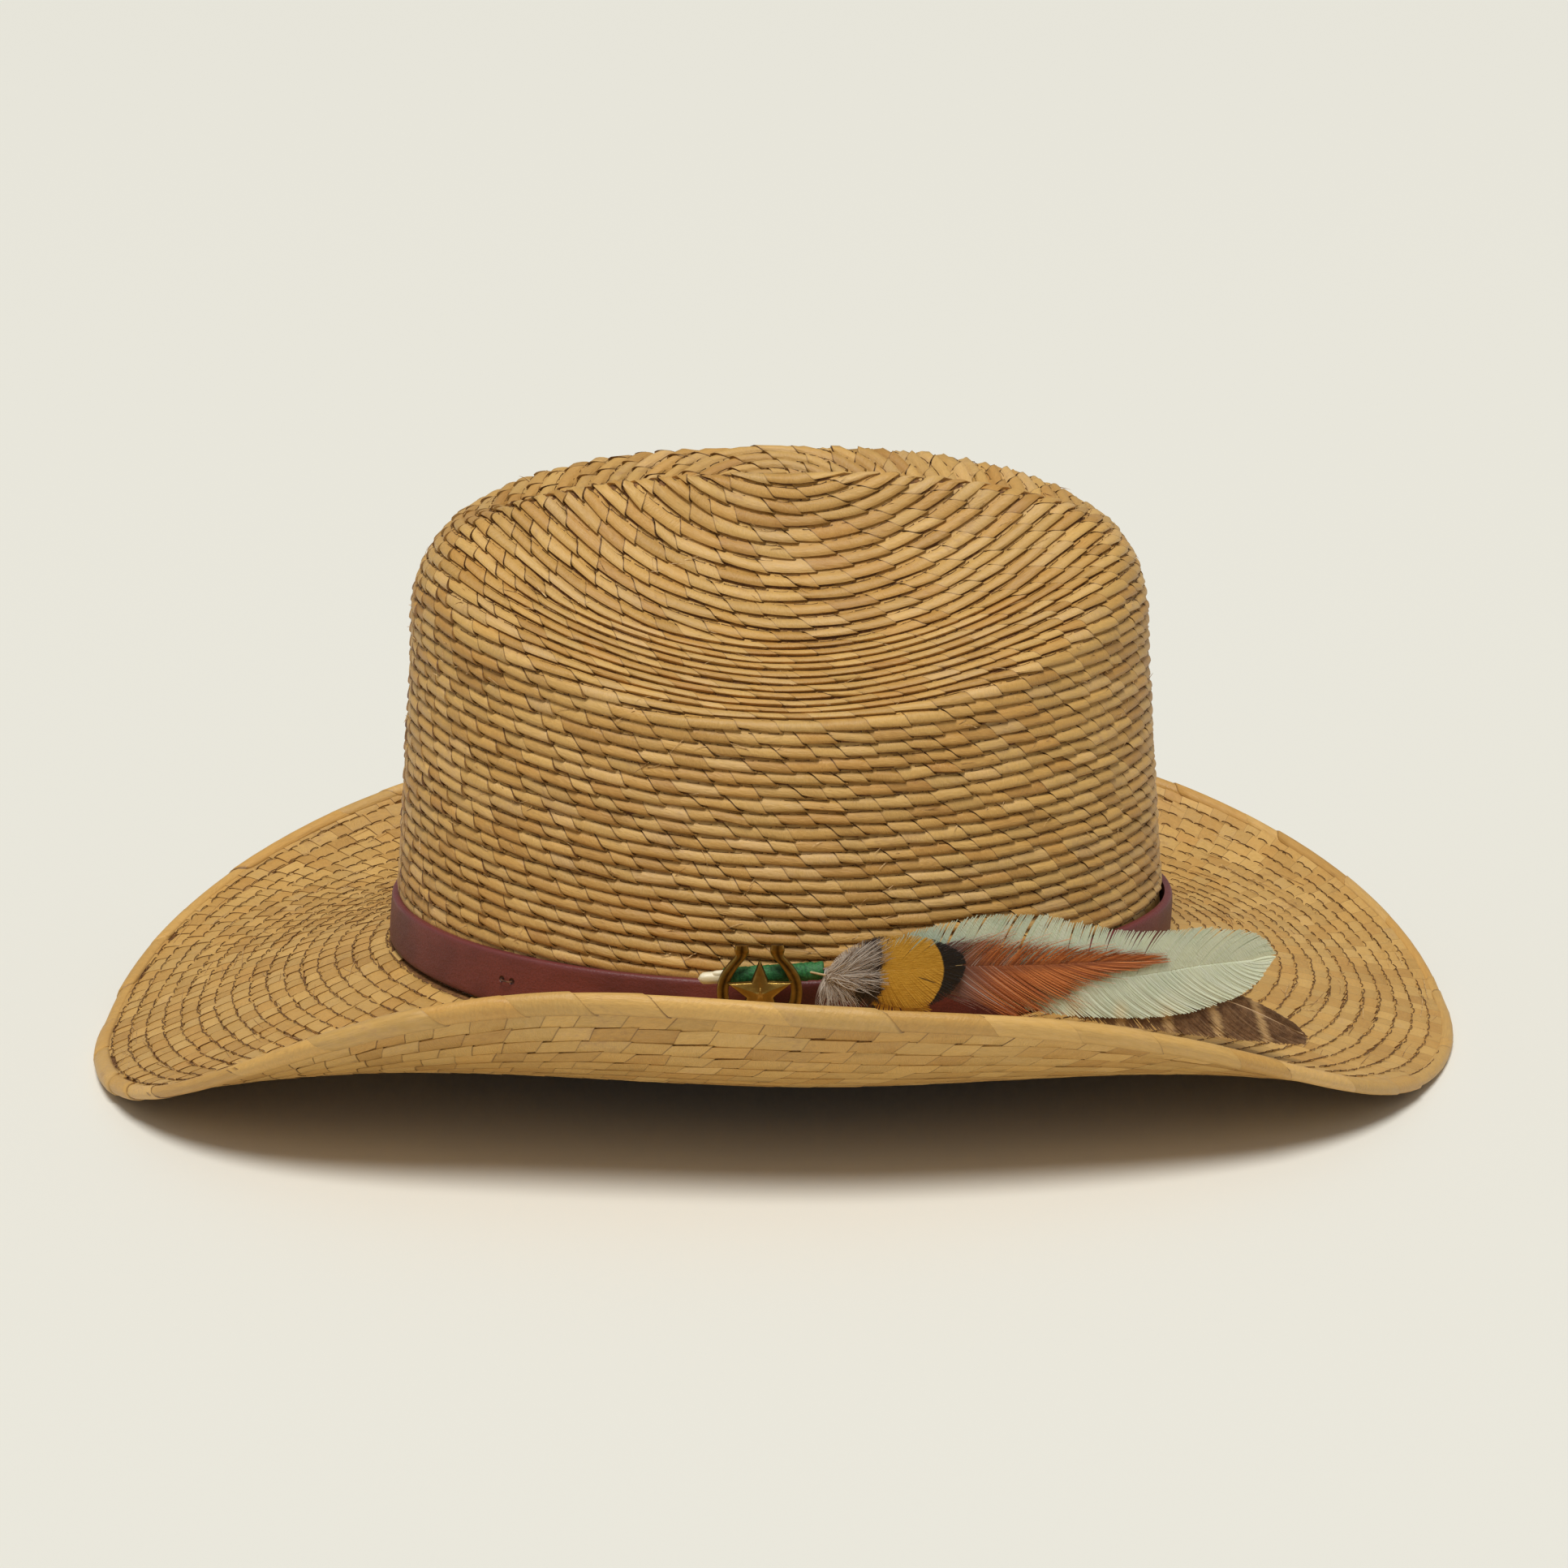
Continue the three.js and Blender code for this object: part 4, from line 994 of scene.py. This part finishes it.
# %% Nail holes
HOLES, HOLE_SIDES, HOLE_LONG, HOLE_WIDE = [(7.4, 5.6), (8.9, 1.2), (8.3, -3.4)], 12, 0.85, 0.5
holes = []
for hx, hz in HOLES:
    for side in (-1, 1):
        a = np.arange(HOLE_SIDES) * TURN / HOLE_SIDES
        lean = math.atan2(hz, side * hx)
        px, pz = HOLE_LONG * np.cos(a), HOLE_WIDE * np.sin(a)
        turn_to = lean + math.pi / 2
        ring_x = PIN_X + side * hx + px * math.cos(turn_to) - pz * math.sin(turn_to)
        ring_z = PIN_Z + hz + px * math.sin(turn_to) + pz * math.cos(turn_to)
        holes += [np.stack([ring_x, np.full(HOLE_SIDES, depth), ring_z], -1) for depth in (PIN_Y - 3, PIN_Y - 0.25)]
holes = np.stack(holes)
plugs, plug_points = len(holes) // 2, 2 * HOLE_SIDES
j = np.arange(HOLE_SIDES)
lids = np.stack([j[::-1], HOLE_SIDES + j])
mesh = bpy.data.meshes.new("nail_holes")
faces = for_each(tube_quads(2, HOLE_SIDES), plugs, plug_points).tolist() + for_each(lids, plugs, plug_points).tolist()
mesh.from_pydata((holes.reshape(-1, 3) * MM).tolist(), [], faces)
cutter = bpy.data.objects.new("nail_holes", mesh)
bpy.context.scene.collection.objects.link(cutter)
cut = horseshoe.modifiers.new("nail_holes", "BOOLEAN")
cut.operation, cut.object, cut.solver = "DIFFERENCE", cutter, "EXACT"
bpy.context.view_layer.update()
cut_mesh = bpy.data.meshes.new_from_object(horseshoe.evaluated_get(bpy.context.evaluated_depsgraph_get()))
horseshoe.modifiers.clear()
horseshoe.data = cut_mesh
bpy.data.objects.remove(cutter)
print("horseshoe with holes", len(cut_mesh.polygons), "faces")

# %% Star
STAR_Y = PIN_Y - PIN_THICK - GAP
tips = np.arange(10) * TURN / 10
radius = np.where(np.arange(10) % 2, STAR_R * 0.42, STAR_R)
outline = np.stack([radius * np.sin(tips), radius * np.cos(tips)], -1)
levels = [(1.0, 0.0, 0.3), (1.0, 0.75, 0.75), (0.93, 1.0, 1.0),
          (0.62, 1.35, 0.75), (0.3, 1.7, 0.85), (0.08, 1.95, 1.0)]  # share of the outline, height, rub
star = np.stack([np.stack([PIN_X + outline[:, 0] * s, np.full(10, STAR_Y - h), PIN_Z + 0.2 + outline[:, 1] * s], -1)
                 for s, h, _ in levels], 1)
rub = np.broadcast_to(np.array([r for _, _, r in levels])[None, :], (10, len(levels)))
star_faces = [ring_faces(10, len(levels), closed_across=False, flip=True)]
back = np.arange(10) * len(levels)
star_faces += [back[None], back[None, ::-1] + len(levels) - 1]
brass_star = make_piece("brass_star", star, star_faces, "trim", pin_brass, "pin_brass", ["pin_star"], 25,
                        np.stack([rub, rub], -1))
bevel = brass_star.modifiers.new("soft_edges", "BEVEL")
bevel.width, bevel.segments, bevel.limit_method = 0.00022, 2, "ANGLE"

# %% [markdown]
# ## Feathers
# A feather is a shaft with hundreds of barbs. A flat shape with a drawn pattern looks like paper at its edge,
# so each barb here is a thin ribbon that leaves the shaft, bends towards the tip and ends on the outline with
# its own small error. The pattern of bars and spots comes from where each barb's point lies on the feather.


# %% Ribbons
def ribbons(paths, width, thick, face=(0, -1, 0), tilt=0.0):
    """Closed flat ribbons: four corners at each path point, half a width sideways and half a thickness up and down."""
    n, m = paths.shape[:2]
    tangent = unit(np.gradient(paths, axis=1))
    facing = np.array(face, float)
    side = unit(np.cross(tangent, facing))
    up = unit(facing + side * tilt)
    side = unit(np.cross(tangent, up))
    w = np.broadcast_to(width, (n, m))[..., None] / 2
    t = np.broadcast_to(thick, (n, m))[..., None] / 2
    rings = np.stack([paths + side * w, paths + up * t, paths - side * w, paths - up * t], 2)
    base = (np.arange(n) * m * 4)[:, None]
    caps = np.concatenate([base + np.array([3, 2, 1, 0]), base + (m - 1) * 4 + np.arange(4)])
    return rings, [for_each(tube_quads(m, 4), n, m * 4), caps]


def vane(rachis, edge, plane, count, seed, root=(0.0, 0.97), sweep=0.14, width=0.55, ragged=0.03, camber=0.0,
         tilt=0.25, points=9, thick=0.1, lift=0.0):
    """Barbs of one side. Barb i runs from the shaft at share r to the edge at share e on a curve of degree two.

    Its middle control point is pushed out across the barb by sweep x its length. Height over the plane is
    camber x (1 - share^2) minus a little noise, so the vane is cupped.
    """
    rng = np.random.default_rng(seed)
    shaft, rim = through(rachis, 400), through(edge, 400)
    e = np.sort(rng.uniform(0, 1, count)) * 0.35 + np.linspace(0, 1, count) * 0.65
    r = root[0] + (root[1] - root[0]) * np.clip(e - 0.02, 0, 1) ** 0.85
    pick = lambda curve, share: np.stack([np.interp(share, np.linspace(0, 1, 400), line) for line in curve.T], -1)
    a, b = pick(shaft, r), pick(rim, e)
    b = b + (b - a) * rng.normal(0, ragged, (count, 1)) + rng.normal(0, ragged * 3, (count, 2))
    chord = b - a
    ahead = pick(shaft, np.clip(r + 0.05, 0, 1)) - a
    turning = np.sign(chord[:, 0] * ahead[:, 1] - chord[:, 1] * ahead[:, 0])
    out = np.stack([-chord[:, 1], chord[:, 0]], -1) * turning[:, None]
    middle = (a + b) / 2 - out * sweep + rng.normal(0, ragged * 2, (count, 2))
    t = np.linspace(0, 1, points)[None, :, None]
    flat = (1 - t) ** 2 * a[:, None] + 2 * t * (1 - t) * middle[:, None] + t**2 * b[:, None]
    tt = t[..., 0]
    depth = plane - camber * (1 - tt**1.6) - lift * tt**2 + rng.normal(0, 0.05 + ragged, (count, 1)) * tt
    paths = np.stack([flat[..., 0], depth, flat[..., 1]], -1)
    widths = width * (1 - 0.75 * tt**2.5) * rng.uniform(0.8, 1.2, (count, 1))
    rings, faces = ribbons(paths, widths, thick, tilt=tilt)
    layout = np.stack(np.broadcast_arrays(e[:, None, None], tt[:, :, None], np.zeros((1, 1, 4)))[:2], -1)
    lot = np.broadcast_to(rng.random((count, 1, 1, 3)), (count, points, 4, 3))
    return {"points": rings, "faces": faces, "layout": layout, "lot": lot}


def shaft(points_xz, plane, radius, tip, sides=6, lead=()):
    """The quill: a tapering round tube along the shaft line."""
    line = through(points_xz, 30)
    path = np.stack([line[:, 0], np.full(30, plane), line[:, 1]], -1)
    if len(lead):
        path = np.concatenate([np.array(lead, float), path])
    taper = np.linspace(radius, tip, len(path))
    rings, faces = tubes(path[None], taper[None], sides)
    return plain(rings, faces, (0.5, -1.0), (0.5, 0.5, 0.5))


def plain(rings, faces, layout=(0, 0), lot=(0, 0, 0)):
    """Points and faces with one and the same entry in both maps for every point."""
    count = rings.size // 3
    return {"points": rings, "faces": faces, "layout": np.tile(layout, (count, 1)), "lot": np.tile(lot, (count, 1))}


def join(parts):
    """Several sets of points and faces as one."""
    sizes = {"points": 3, "layout": 2, "lot": 3}
    joined = {key: np.concatenate([np.asarray(p[key]).reshape(-1, size) for p in parts]) for key, size in sizes.items()}
    faces, offset = {}, 0
    for part in parts:
        for f in part["faces"]:
            faces.setdefault(f.shape[1], []).append(f + offset)
        offset += np.asarray(part["points"]).size // 3
    return {**joined, "faces": [np.concatenate(f) for f in faces.values()]}


def feather(name, parts, finish, slot_name, node):
    """A feather of the trim, made of a shaft and its vanes."""
    return lay_piece(name, join(parts), finish, slot_name, [node], "trim", 60)


def feather_maps(finish):
    """What a feather's finish reads: share along and across, two random numbers and the place."""
    return (*finish.layout(), *finish.lot()[:2], *finish.place())


def stripes(value, places):
    """Soft bars, each given by its middle and its reach."""
    bars = [value.near(middle, reach) for middle, reach in places]
    total = bars[0]
    for bar in bars[1:]:
        total = total + bar
    return total


def wrap_point(share, dy, dz):
    """Point on the line of the bound quills."""
    return (-18.6 + 24.6 * share, -89.5 + dy, 39.5 + 1.3 * share + dz)


# %% Pale green feather
MINT_RACHIS = [(6, 40.8), (17, 41), (35, 40.1), (58, 38.8), (79, 38.3), (100, 41.1), (115.5, 42.6)]
MINT_UPPER = [(14, 41.3), (25, 49.4), (42.6, 53.9), (58.5, 54.3), (68.5, 52.1), (83.3, 49.8), (99.9, 50.4),
              (112, 48.8), (117.3, 43.6)]
MINT_LOWER = [(14, 40.6), (24, 37.8), (38, 34.2), (58, 29.6), (76, 27.8), (91.2, 28.1), (104, 31.3),
              (111.7, 35.3), (117.2, 43)]
f = Finish("mint_feather")
s, t, tone, bright, x, y, z = feather_maps(f)
soft = f.noise([x, y, z], 0.12, 3, 0.5)
fine = f.noise([x * 1.2 + z * 0.9, y, (z - x) * 0.2], 2.4, 3, 0.6)
colour = f.mix(soft.step(0.3, 0.7), tint(204, 221, 194), tint(224, 235, 208))
colour = f.mix((x - 75).step(0, 45) * 0.55, colour, tint(230, 228, 192))
bars = stripes(x, [(67.5, 3), (79, 3), (90.5, 3), (102, 3)]) * (36 - z - (x - 60) * 0.1).step(0, 5)
colour = f.mix(bars.at_most(1.0) * 0.6, colour, tint(238, 222, 176))
colour = f.mix((fine * 0.6 + bright * 0.4).step(0.3, 0.75) * 0.35, colour, tint(226, 233, 222))
colour = f.mix((t * -1).step(0.5, 1.0) * 0.6, colour, tint(222, 226, 212))
mint = f.surface(colour, 0.55, fine, 0.00015)
feather("mint_plume", [
    shaft(MINT_RACHIS, -90.25, 0.5, 0.14, lead=[wrap_point(0.6, 0, 0)]),
    vane(MINT_RACHIS, MINT_UPPER, -90.2, 230, 61,
         root=(0.1, 0.97), sweep=0.1, width=1.0, ragged=0.016, camber=0.25, tilt=0.3),
    vane(MINT_RACHIS, MINT_LOWER, -90.2, 230, 62,
         root=(0.1, 0.97), sweep=0.1, width=1.0, ragged=0.012, camber=0.25, tilt=-0.3),
], mint, "mint_feather", "feather_mint")

# %% Barred brown feather
BARRED_RACHIS = [(6, 40.6), (17, 40.4), (50, 39.2), (80, 36.7), (104.5, 31.8), (124.6, 22.6)]
BARRED_UPPER = [(18, 40.5), (40, 43.2), (62, 43.2), (85, 40.2), (107.7, 33.2), (121, 26.2), (125.8, 21.8)]
BARRED_LOWER = [(18, 40.3), (30, 38.2), (48, 33.2), (70, 27.2), (88.7, 23.9), (107.7, 21.5),
                (123.6, 20), (125.7, 21.4)]
f = Finish("barred_feather")
s, t, tone, bright, x, y, z = feather_maps(f)
jag = f.noise([x * 0.35 + z * 0.9, y, z * 0.5], 0.9, 3, 0.8)
shifted = x + (z - 28) * 0.3 + jag * 4.5 - 2.2
bars = stripes(shifted, [(67.5, 2.2), (79, 2.2), (90.5, 2), (102.5, 2), (113.5, 1.8)])
mottle = f.noise([x, y, z], 0.5, 4, 0.7)
fine = f.noise([x * 1.2 + z * 0.9, y, (z - x) * 0.2], 2.6, 3, 0.6)
colour = f.mix(mottle.step(0.35, 0.68), tint(92, 62, 38), tint(132, 98, 66))
colour = f.mix((t - 0.75).step(0, 0.3) * 0.35, colour, tint(158, 126, 94))
colour = f.mix(bars.at_most(1.0) * 0.85, colour, tint(216, 182, 130))
colour = f.mix((fine * 0.6 + bright * 0.4).step(0.35, 0.8) * 0.25, colour, tint(176, 146, 112))
colour = f.mix((t * -1).step(0.5, 1.0), colour, tint(210, 180, 142))
barred = f.surface(colour, 0.55, fine, 0.00015)
feather("barred_plume", [
    shaft(BARRED_RACHIS, -89.3, 0.45, 0.12, lead=[wrap_point(0.7, 1.0, -0.3)]),
    vane(BARRED_RACHIS, BARRED_UPPER, -89.15, 200, 63,
         root=(0.06, 0.97), sweep=0.06, width=0.95, ragged=0.01, camber=0.2, tilt=0.25),
    vane(BARRED_RACHIS, BARRED_LOWER, -89.15, 220, 64,
         root=(0.06, 0.97), sweep=0.1, width=1.0, ragged=0.012, camber=0.2, tilt=-0.25),
], barred, "barred_feather", "feather_barred")

# %% Rust hackle
RUST_RACHIS = [(6, 41.6), (16, 42), (35, 42), (60, 42), (90, 43.1)]
RUST_UPPER = [(12, 42.2), (26, 45.4), (39, 48), (52, 47.6), (70, 45.8), (91, 43.4)]
RUST_LOWER = [(12, 41), (24, 38.4), (39.5, 34.6), (52.6, 29.4), (62, 32.2), (72, 37.6), (91, 42.8)]
f = Finish("rust_feather")
s, t, tone, bright, x, y, z = feather_maps(f)
fine = f.noise([x * 0.4, y, z * 3.0], 1.6, 3, 0.6)
colour = f.mix((tone * 0.5 + fine * 0.5).step(0.3, 0.7), tint(160, 84, 40), tint(208, 124, 64))
colour = f.mix((54 - x - z * 0.1).step(0, 12) * 0.85, colour, tint(104, 82, 80))
colour = f.mix((0.3 - t).step(0, 0.25) * 0.5, colour, tint(108, 58, 38))
colour = f.mix(bright.step(0.8, 1.0) * (56 - x).step(0, 10) * 0.6, colour, tint(190, 176, 168))
rust = f.surface(colour, 0.5, fine, 0.0001)
feather("rust_hackle", [
    shaft(RUST_RACHIS, -91.2, 0.35, 0.1, lead=[wrap_point(0.7, -0.2, 1.0)]),
    vane(RUST_RACHIS, RUST_UPPER, -91.2, 260, 65,
         root=(0.05, 0.96), sweep=0.05, width=0.36, ragged=0.07, camber=0.3, tilt=0.3),
    vane(RUST_RACHIS, RUST_LOWER, -91.2, 300, 66,
         root=(0.05, 0.9), sweep=0.05, width=0.36, ragged=0.07, camber=0.3, tilt=-0.3),
    vane(RUST_RACHIS, [(30, 44), (44, 49.4), (56, 49.4), (74, 46.6), (89, 44)], -91.1, 60, 67,
         root=(0.2, 0.9), sweep=0.05, width=0.2, ragged=0.12, camber=0.2),
    vane(RUST_RACHIS, [(34, 38), (44, 31), (56, 27.8), (66, 32), (80, 39)], -91.1, 70, 68,
         root=(0.2, 0.8), sweep=0.05, width=0.2, ragged=0.12, camber=0.2),
], rust, "rust_feather", "feather_rust")

# %% Gold feathers
GOLD_RACHIS = [(6, 40.9), (14.5, 41.6), (24, 41.9), (39.5, 42.9)]
GOLD_UPPER = [(6.4, 41.4), (9.5, 45.7), (15, 49), (21, 50.4), (29.4, 50.1), (35.5, 48), (39.4, 45.6), (40.6, 43)]
GOLD_LOWER = [(6.6, 40.6), (8, 38.2), (13, 35.4), (21.2, 32.7), (29.6, 32), (35.6, 34.5), (39.2, 38.7), (40.6, 42.6)]


def gold_finish(name, dark_from, tip_at):
    """Down at the base, a jagged dark band, a gold disc and a black crescent, all by place along the feather."""
    f = Finish(name)
    s, t, tone, bright, x, y, z = feather_maps(f)
    jag = f.noise([x * 0.5, y, z], 0.8, 3, 0.7)
    fine = f.noise([x * 0.3, y, z * 2.6], 2.0, 3, 0.6)
    bow = (z - 41.5) * (z - 41.5) * 0.045
    colour = f.mix(fine.step(0.3, 0.7), tint(190, 138, 34), tint(216, 166, 58))
    down = f.mix((tone * 0.6 + fine * 0.4).step(0.3, 0.7), tint(150, 124, 100), tint(206, 188, 166))
    zig = x + jag * 7.0 - 3.5
    colour = f.mix(1 - (zig - dark_from).step(3.6, 5.2), colour, tint(52, 36, 30))
    colour = f.mix(1 - (zig - dark_from).step(-1.5, 1.0), colour, down)
    blob = x.near(dark_from + 0.5, 4.5) * z.near(36.3, 3.4)
    colour = f.mix(blob.step(0.25, 0.5), colour, tint(40, 28, 24))
    crescent = (x + bow + jag * 0.8 - tip_at).step(-0.25, 0.25)
    colour = f.mix(crescent, colour, tint(24, 19, 17))
    slit = (z - 39.6 + (x - 30) * 0.38).near(0, 0.35) * x.near(31, 4.2)
    colour = f.mix(slit.step(0.3, 0.6) * 0.85, colour, tint(60, 40, 16))
    colour = f.mix((t * -1).step(0.5, 1.0) * 0.5, colour, tint(214, 178, 110))
    return f.surface(colour, 0.45, fine, 0.00012)


gold = gold_finish("gold_feather", 15.5, 35.4)
feather("gold_plume", [
    shaft(GOLD_RACHIS, -93.9, 0.3, 0.08, lead=[wrap_point(0.8, -0.8, 0.5)]),
    vane(GOLD_RACHIS, GOLD_UPPER, -93.0, 190, 71,
         root=(0.1, 0.97), sweep=0.06, width=0.5, ragged=0.008, camber=1.0, tilt=0.2),
    vane(GOLD_RACHIS, GOLD_LOWER, -93.0, 190, 72,
         root=(0.1, 0.97), sweep=0.06, width=0.5, ragged=0.008, camber=1.0, tilt=-0.2),
], gold, "gold_feather", "feather_gold")
SMALL_RACHIS = [(6, 40), (13, 38.8), (20, 35.6), (28, 31.6)]
small = gold_finish("small_feather", 14, 60)
feather("gold_small_plume", [
    shaft(SMALL_RACHIS, -92.2, 0.25, 0.08),
    vane(SMALL_RACHIS, [(8, 39.8), (14, 40.6), (22, 38.6), (29, 35.6), (32.4, 31)], -92.1, 90, 73,
         root=(0.1, 0.97), sweep=0.06, width=0.5, ragged=0.04, camber=0.2, tilt=0.2),
    vane(SMALL_RACHIS, [(8, 38.8), (9, 35.2), (14, 32.2), (22, 29.4), (32.2, 30.6)], -92.1, 90, 74,
         root=(0.1, 0.97), sweep=0.06, width=0.5, ragged=0.06, camber=0.2, tilt=-0.2),
], small, "gold_feather", "feather_gold_small")

# %% [markdown]
# ## Down at the base of the feathers
# Soft grey-white down spills out where the quills are bound. It is the same ribbon, much thinner and longer,
# fanned backwards from the binding.


# %% Down
DOWN_ROOT_Z = 40.9


def down(seed, count, root_x, tips, plane):
    """Fanned hairs: a root near the binding, a tip on a line, and a sideways bow between."""
    rng = np.random.default_rng(seed)
    root = np.stack([rng.uniform(*root_x, count), plane + rng.uniform(-0.4, 0.3, count),
                     DOWN_ROOT_Z + rng.normal(0, 0.7, count)], -1)
    line = through(tips, 200)
    pick = rng.uniform(0, 1, count)
    end = np.stack([np.interp(pick, np.linspace(0, 1, 200), line[:, i]) for i in (0, 1)], -1)
    scale = rng.uniform(0.55, 1.08, (count, 1))
    end = root[:, [0, 2]] + (end - root[:, [0, 2]]) * scale
    t = np.linspace(0, 1, 8)[None, :, None]
    start = root[:, None, [0, 2]]
    middle = (start + end[:, None]) / 2 + rng.normal(0, 1.0, (count, 1, 2))
    flat = (1 - t) ** 2 * start + 2 * t * (1 - t) * middle + t**2 * end[:, None]
    depth = root[:, 1, None] - rng.uniform(0, 0.9, (count, 1)) * np.sin(np.pi * t[..., 0] * 0.7)
    paths = np.stack([flat[..., 0], depth, flat[..., 1]], -1)
    width = rng.uniform(0.12, 0.26, (count, 1)) * (1 - 0.7 * t[..., 0] ** 2)
    rings, faces = ribbons(paths, width, 0.05)
    layout = np.broadcast_to(t, (count, 8, 4))[..., None] * [1.0, 1.0]
    lot = np.broadcast_to(rng.random((count, 1, 1, 3)), (count, 8, 4, 3))
    return {"points": rings, "faces": faces, "layout": layout, "lot": lot}


f = Finish("grey_down")
tone, bright, _ = f.lot()
s, t = f.layout()
colour = f.mix(tone, tint(150, 130, 112), tint(226, 218, 206))
colour = f.mix(s.step(0.5, 1.0) * bright * 0.6, colour, tint(92, 72, 62))
grey_down = f.surface(colour, 0.7)
tufts = join([
    down(81, 260, (6, 9), [(3.5, 33.5), (7, 31.5), (12, 31.6), (16, 33)], -92.8),
    down(82, 240, (6, 10), [(11, 46.2), (16, 48.8), (21, 49.6), (22, 45)], -94.2),
    down(83, 160, (7, 11), [(20, 43), (21, 39), (18, 35)], -94.3),
])
lay_piece("feather_down", tufts, grey_down, "gold_feather", (), "trim", 60)

# %% [markdown]
# ## Green binding
# The quills are bound with green tape, wound in a spiral so that each turn laps the one before. A tube whose
# radius steps up once a turn gives the laps, and the bare white quill sticks out at the left.

# %% Binding and bare quill
TAPE_RINGS, TAPE_SIDES, WRAP_LONG, TAPE_PITCH = 150, 28, 24.6, 2.7
along = np.linspace(0, 1, TAPE_RINGS)[:, None]
around = np.arange(TAPE_SIDES)[None, :] * TURN / TAPE_SIDES
lap = (along * WRAP_LONG / TAPE_PITCH - around / TURN) % 1.0
end_round = np.clip(np.minimum(along, 1 - along) / 0.02, 0, 1) ** 0.5
radius = (2.14 + 0.2 * np.clip(lap * 1.12, 0, 1) * np.clip((1 - lap) / 0.08, 0, 1)) * (0.82 + 0.18 * end_round)
wobble = 0.05 * np.sin(along * 37 + around * 2)
centre = np.stack(wrap_point(along, 0 * along, 0 * along), -1)
tape = np.stack([centre[..., 0] + 0 * around, centre[..., 1] + (radius + wobble) * np.cos(around),
                 centre[..., 2] + (radius + wobble) * np.sin(around)], -1)
lid = np.arange(TAPE_SIDES)
tape_faces = [tube_quads(TAPE_RINGS, TAPE_SIDES)[:, ::-1],
              np.stack([lid, ((TAPE_RINGS - 1) * TAPE_SIDES + lid)[::-1]])]
f = Finish("green_tape")
x, y, z = f.place()
weave = f.noise([x * 1.2, y, z], 1.4, 4, 0.7)
shade = f.noise([x, y, z], 0.3, 2)
colour = f.mix(weave.step(0.35, 0.7), tint(20, 82, 40), tint(48, 128, 66))
colour = f.mix(shade.step(0.5, 0.7) * 0.3, colour, tint(86, 150, 92))
green_tape = f.surface(colour, 0.5, weave, 0.0003)
make_piece("green_binding", tape, tape_faces, "trim", green_tape, "wrap_thread", ["quill_wrap"], 40)
quill = Finish("bare_quill")
x, y, z = quill.place()
line = quill.noise([x * 0.2, y, z], 1.2, 2)
ivory = quill.mix(line.step(0.35, 0.7), tint(226, 212, 172), tint(244, 236, 210))
bare_quill = quill.surface(ivory, 0.4, line, 0.0001)
stub_path = np.array([wrap_point(share, 0, 0) for share in np.linspace(-0.25, 0.04, 12)])
stub_size = np.array([0.0, 1.0, 1.38, 1.45] + [1.5] * 8) + 0.02
second_path = np.array([wrap_point(share, -0.5, 1.0) for share in np.linspace(-0.12, 0.04, 6)])
second_size = np.array([0.2, 0.8, 0.9, 0.9, 0.9, 0.9])
stub = join([plain(*tubes(stub_path[None], stub_size[None], 14)),
             plain(*tubes(second_path[None], second_size[None], 10))])
make_piece("quill_stub", stub["points"], stub["faces"], "trim", bare_quill, "mint_feather", (), 50)
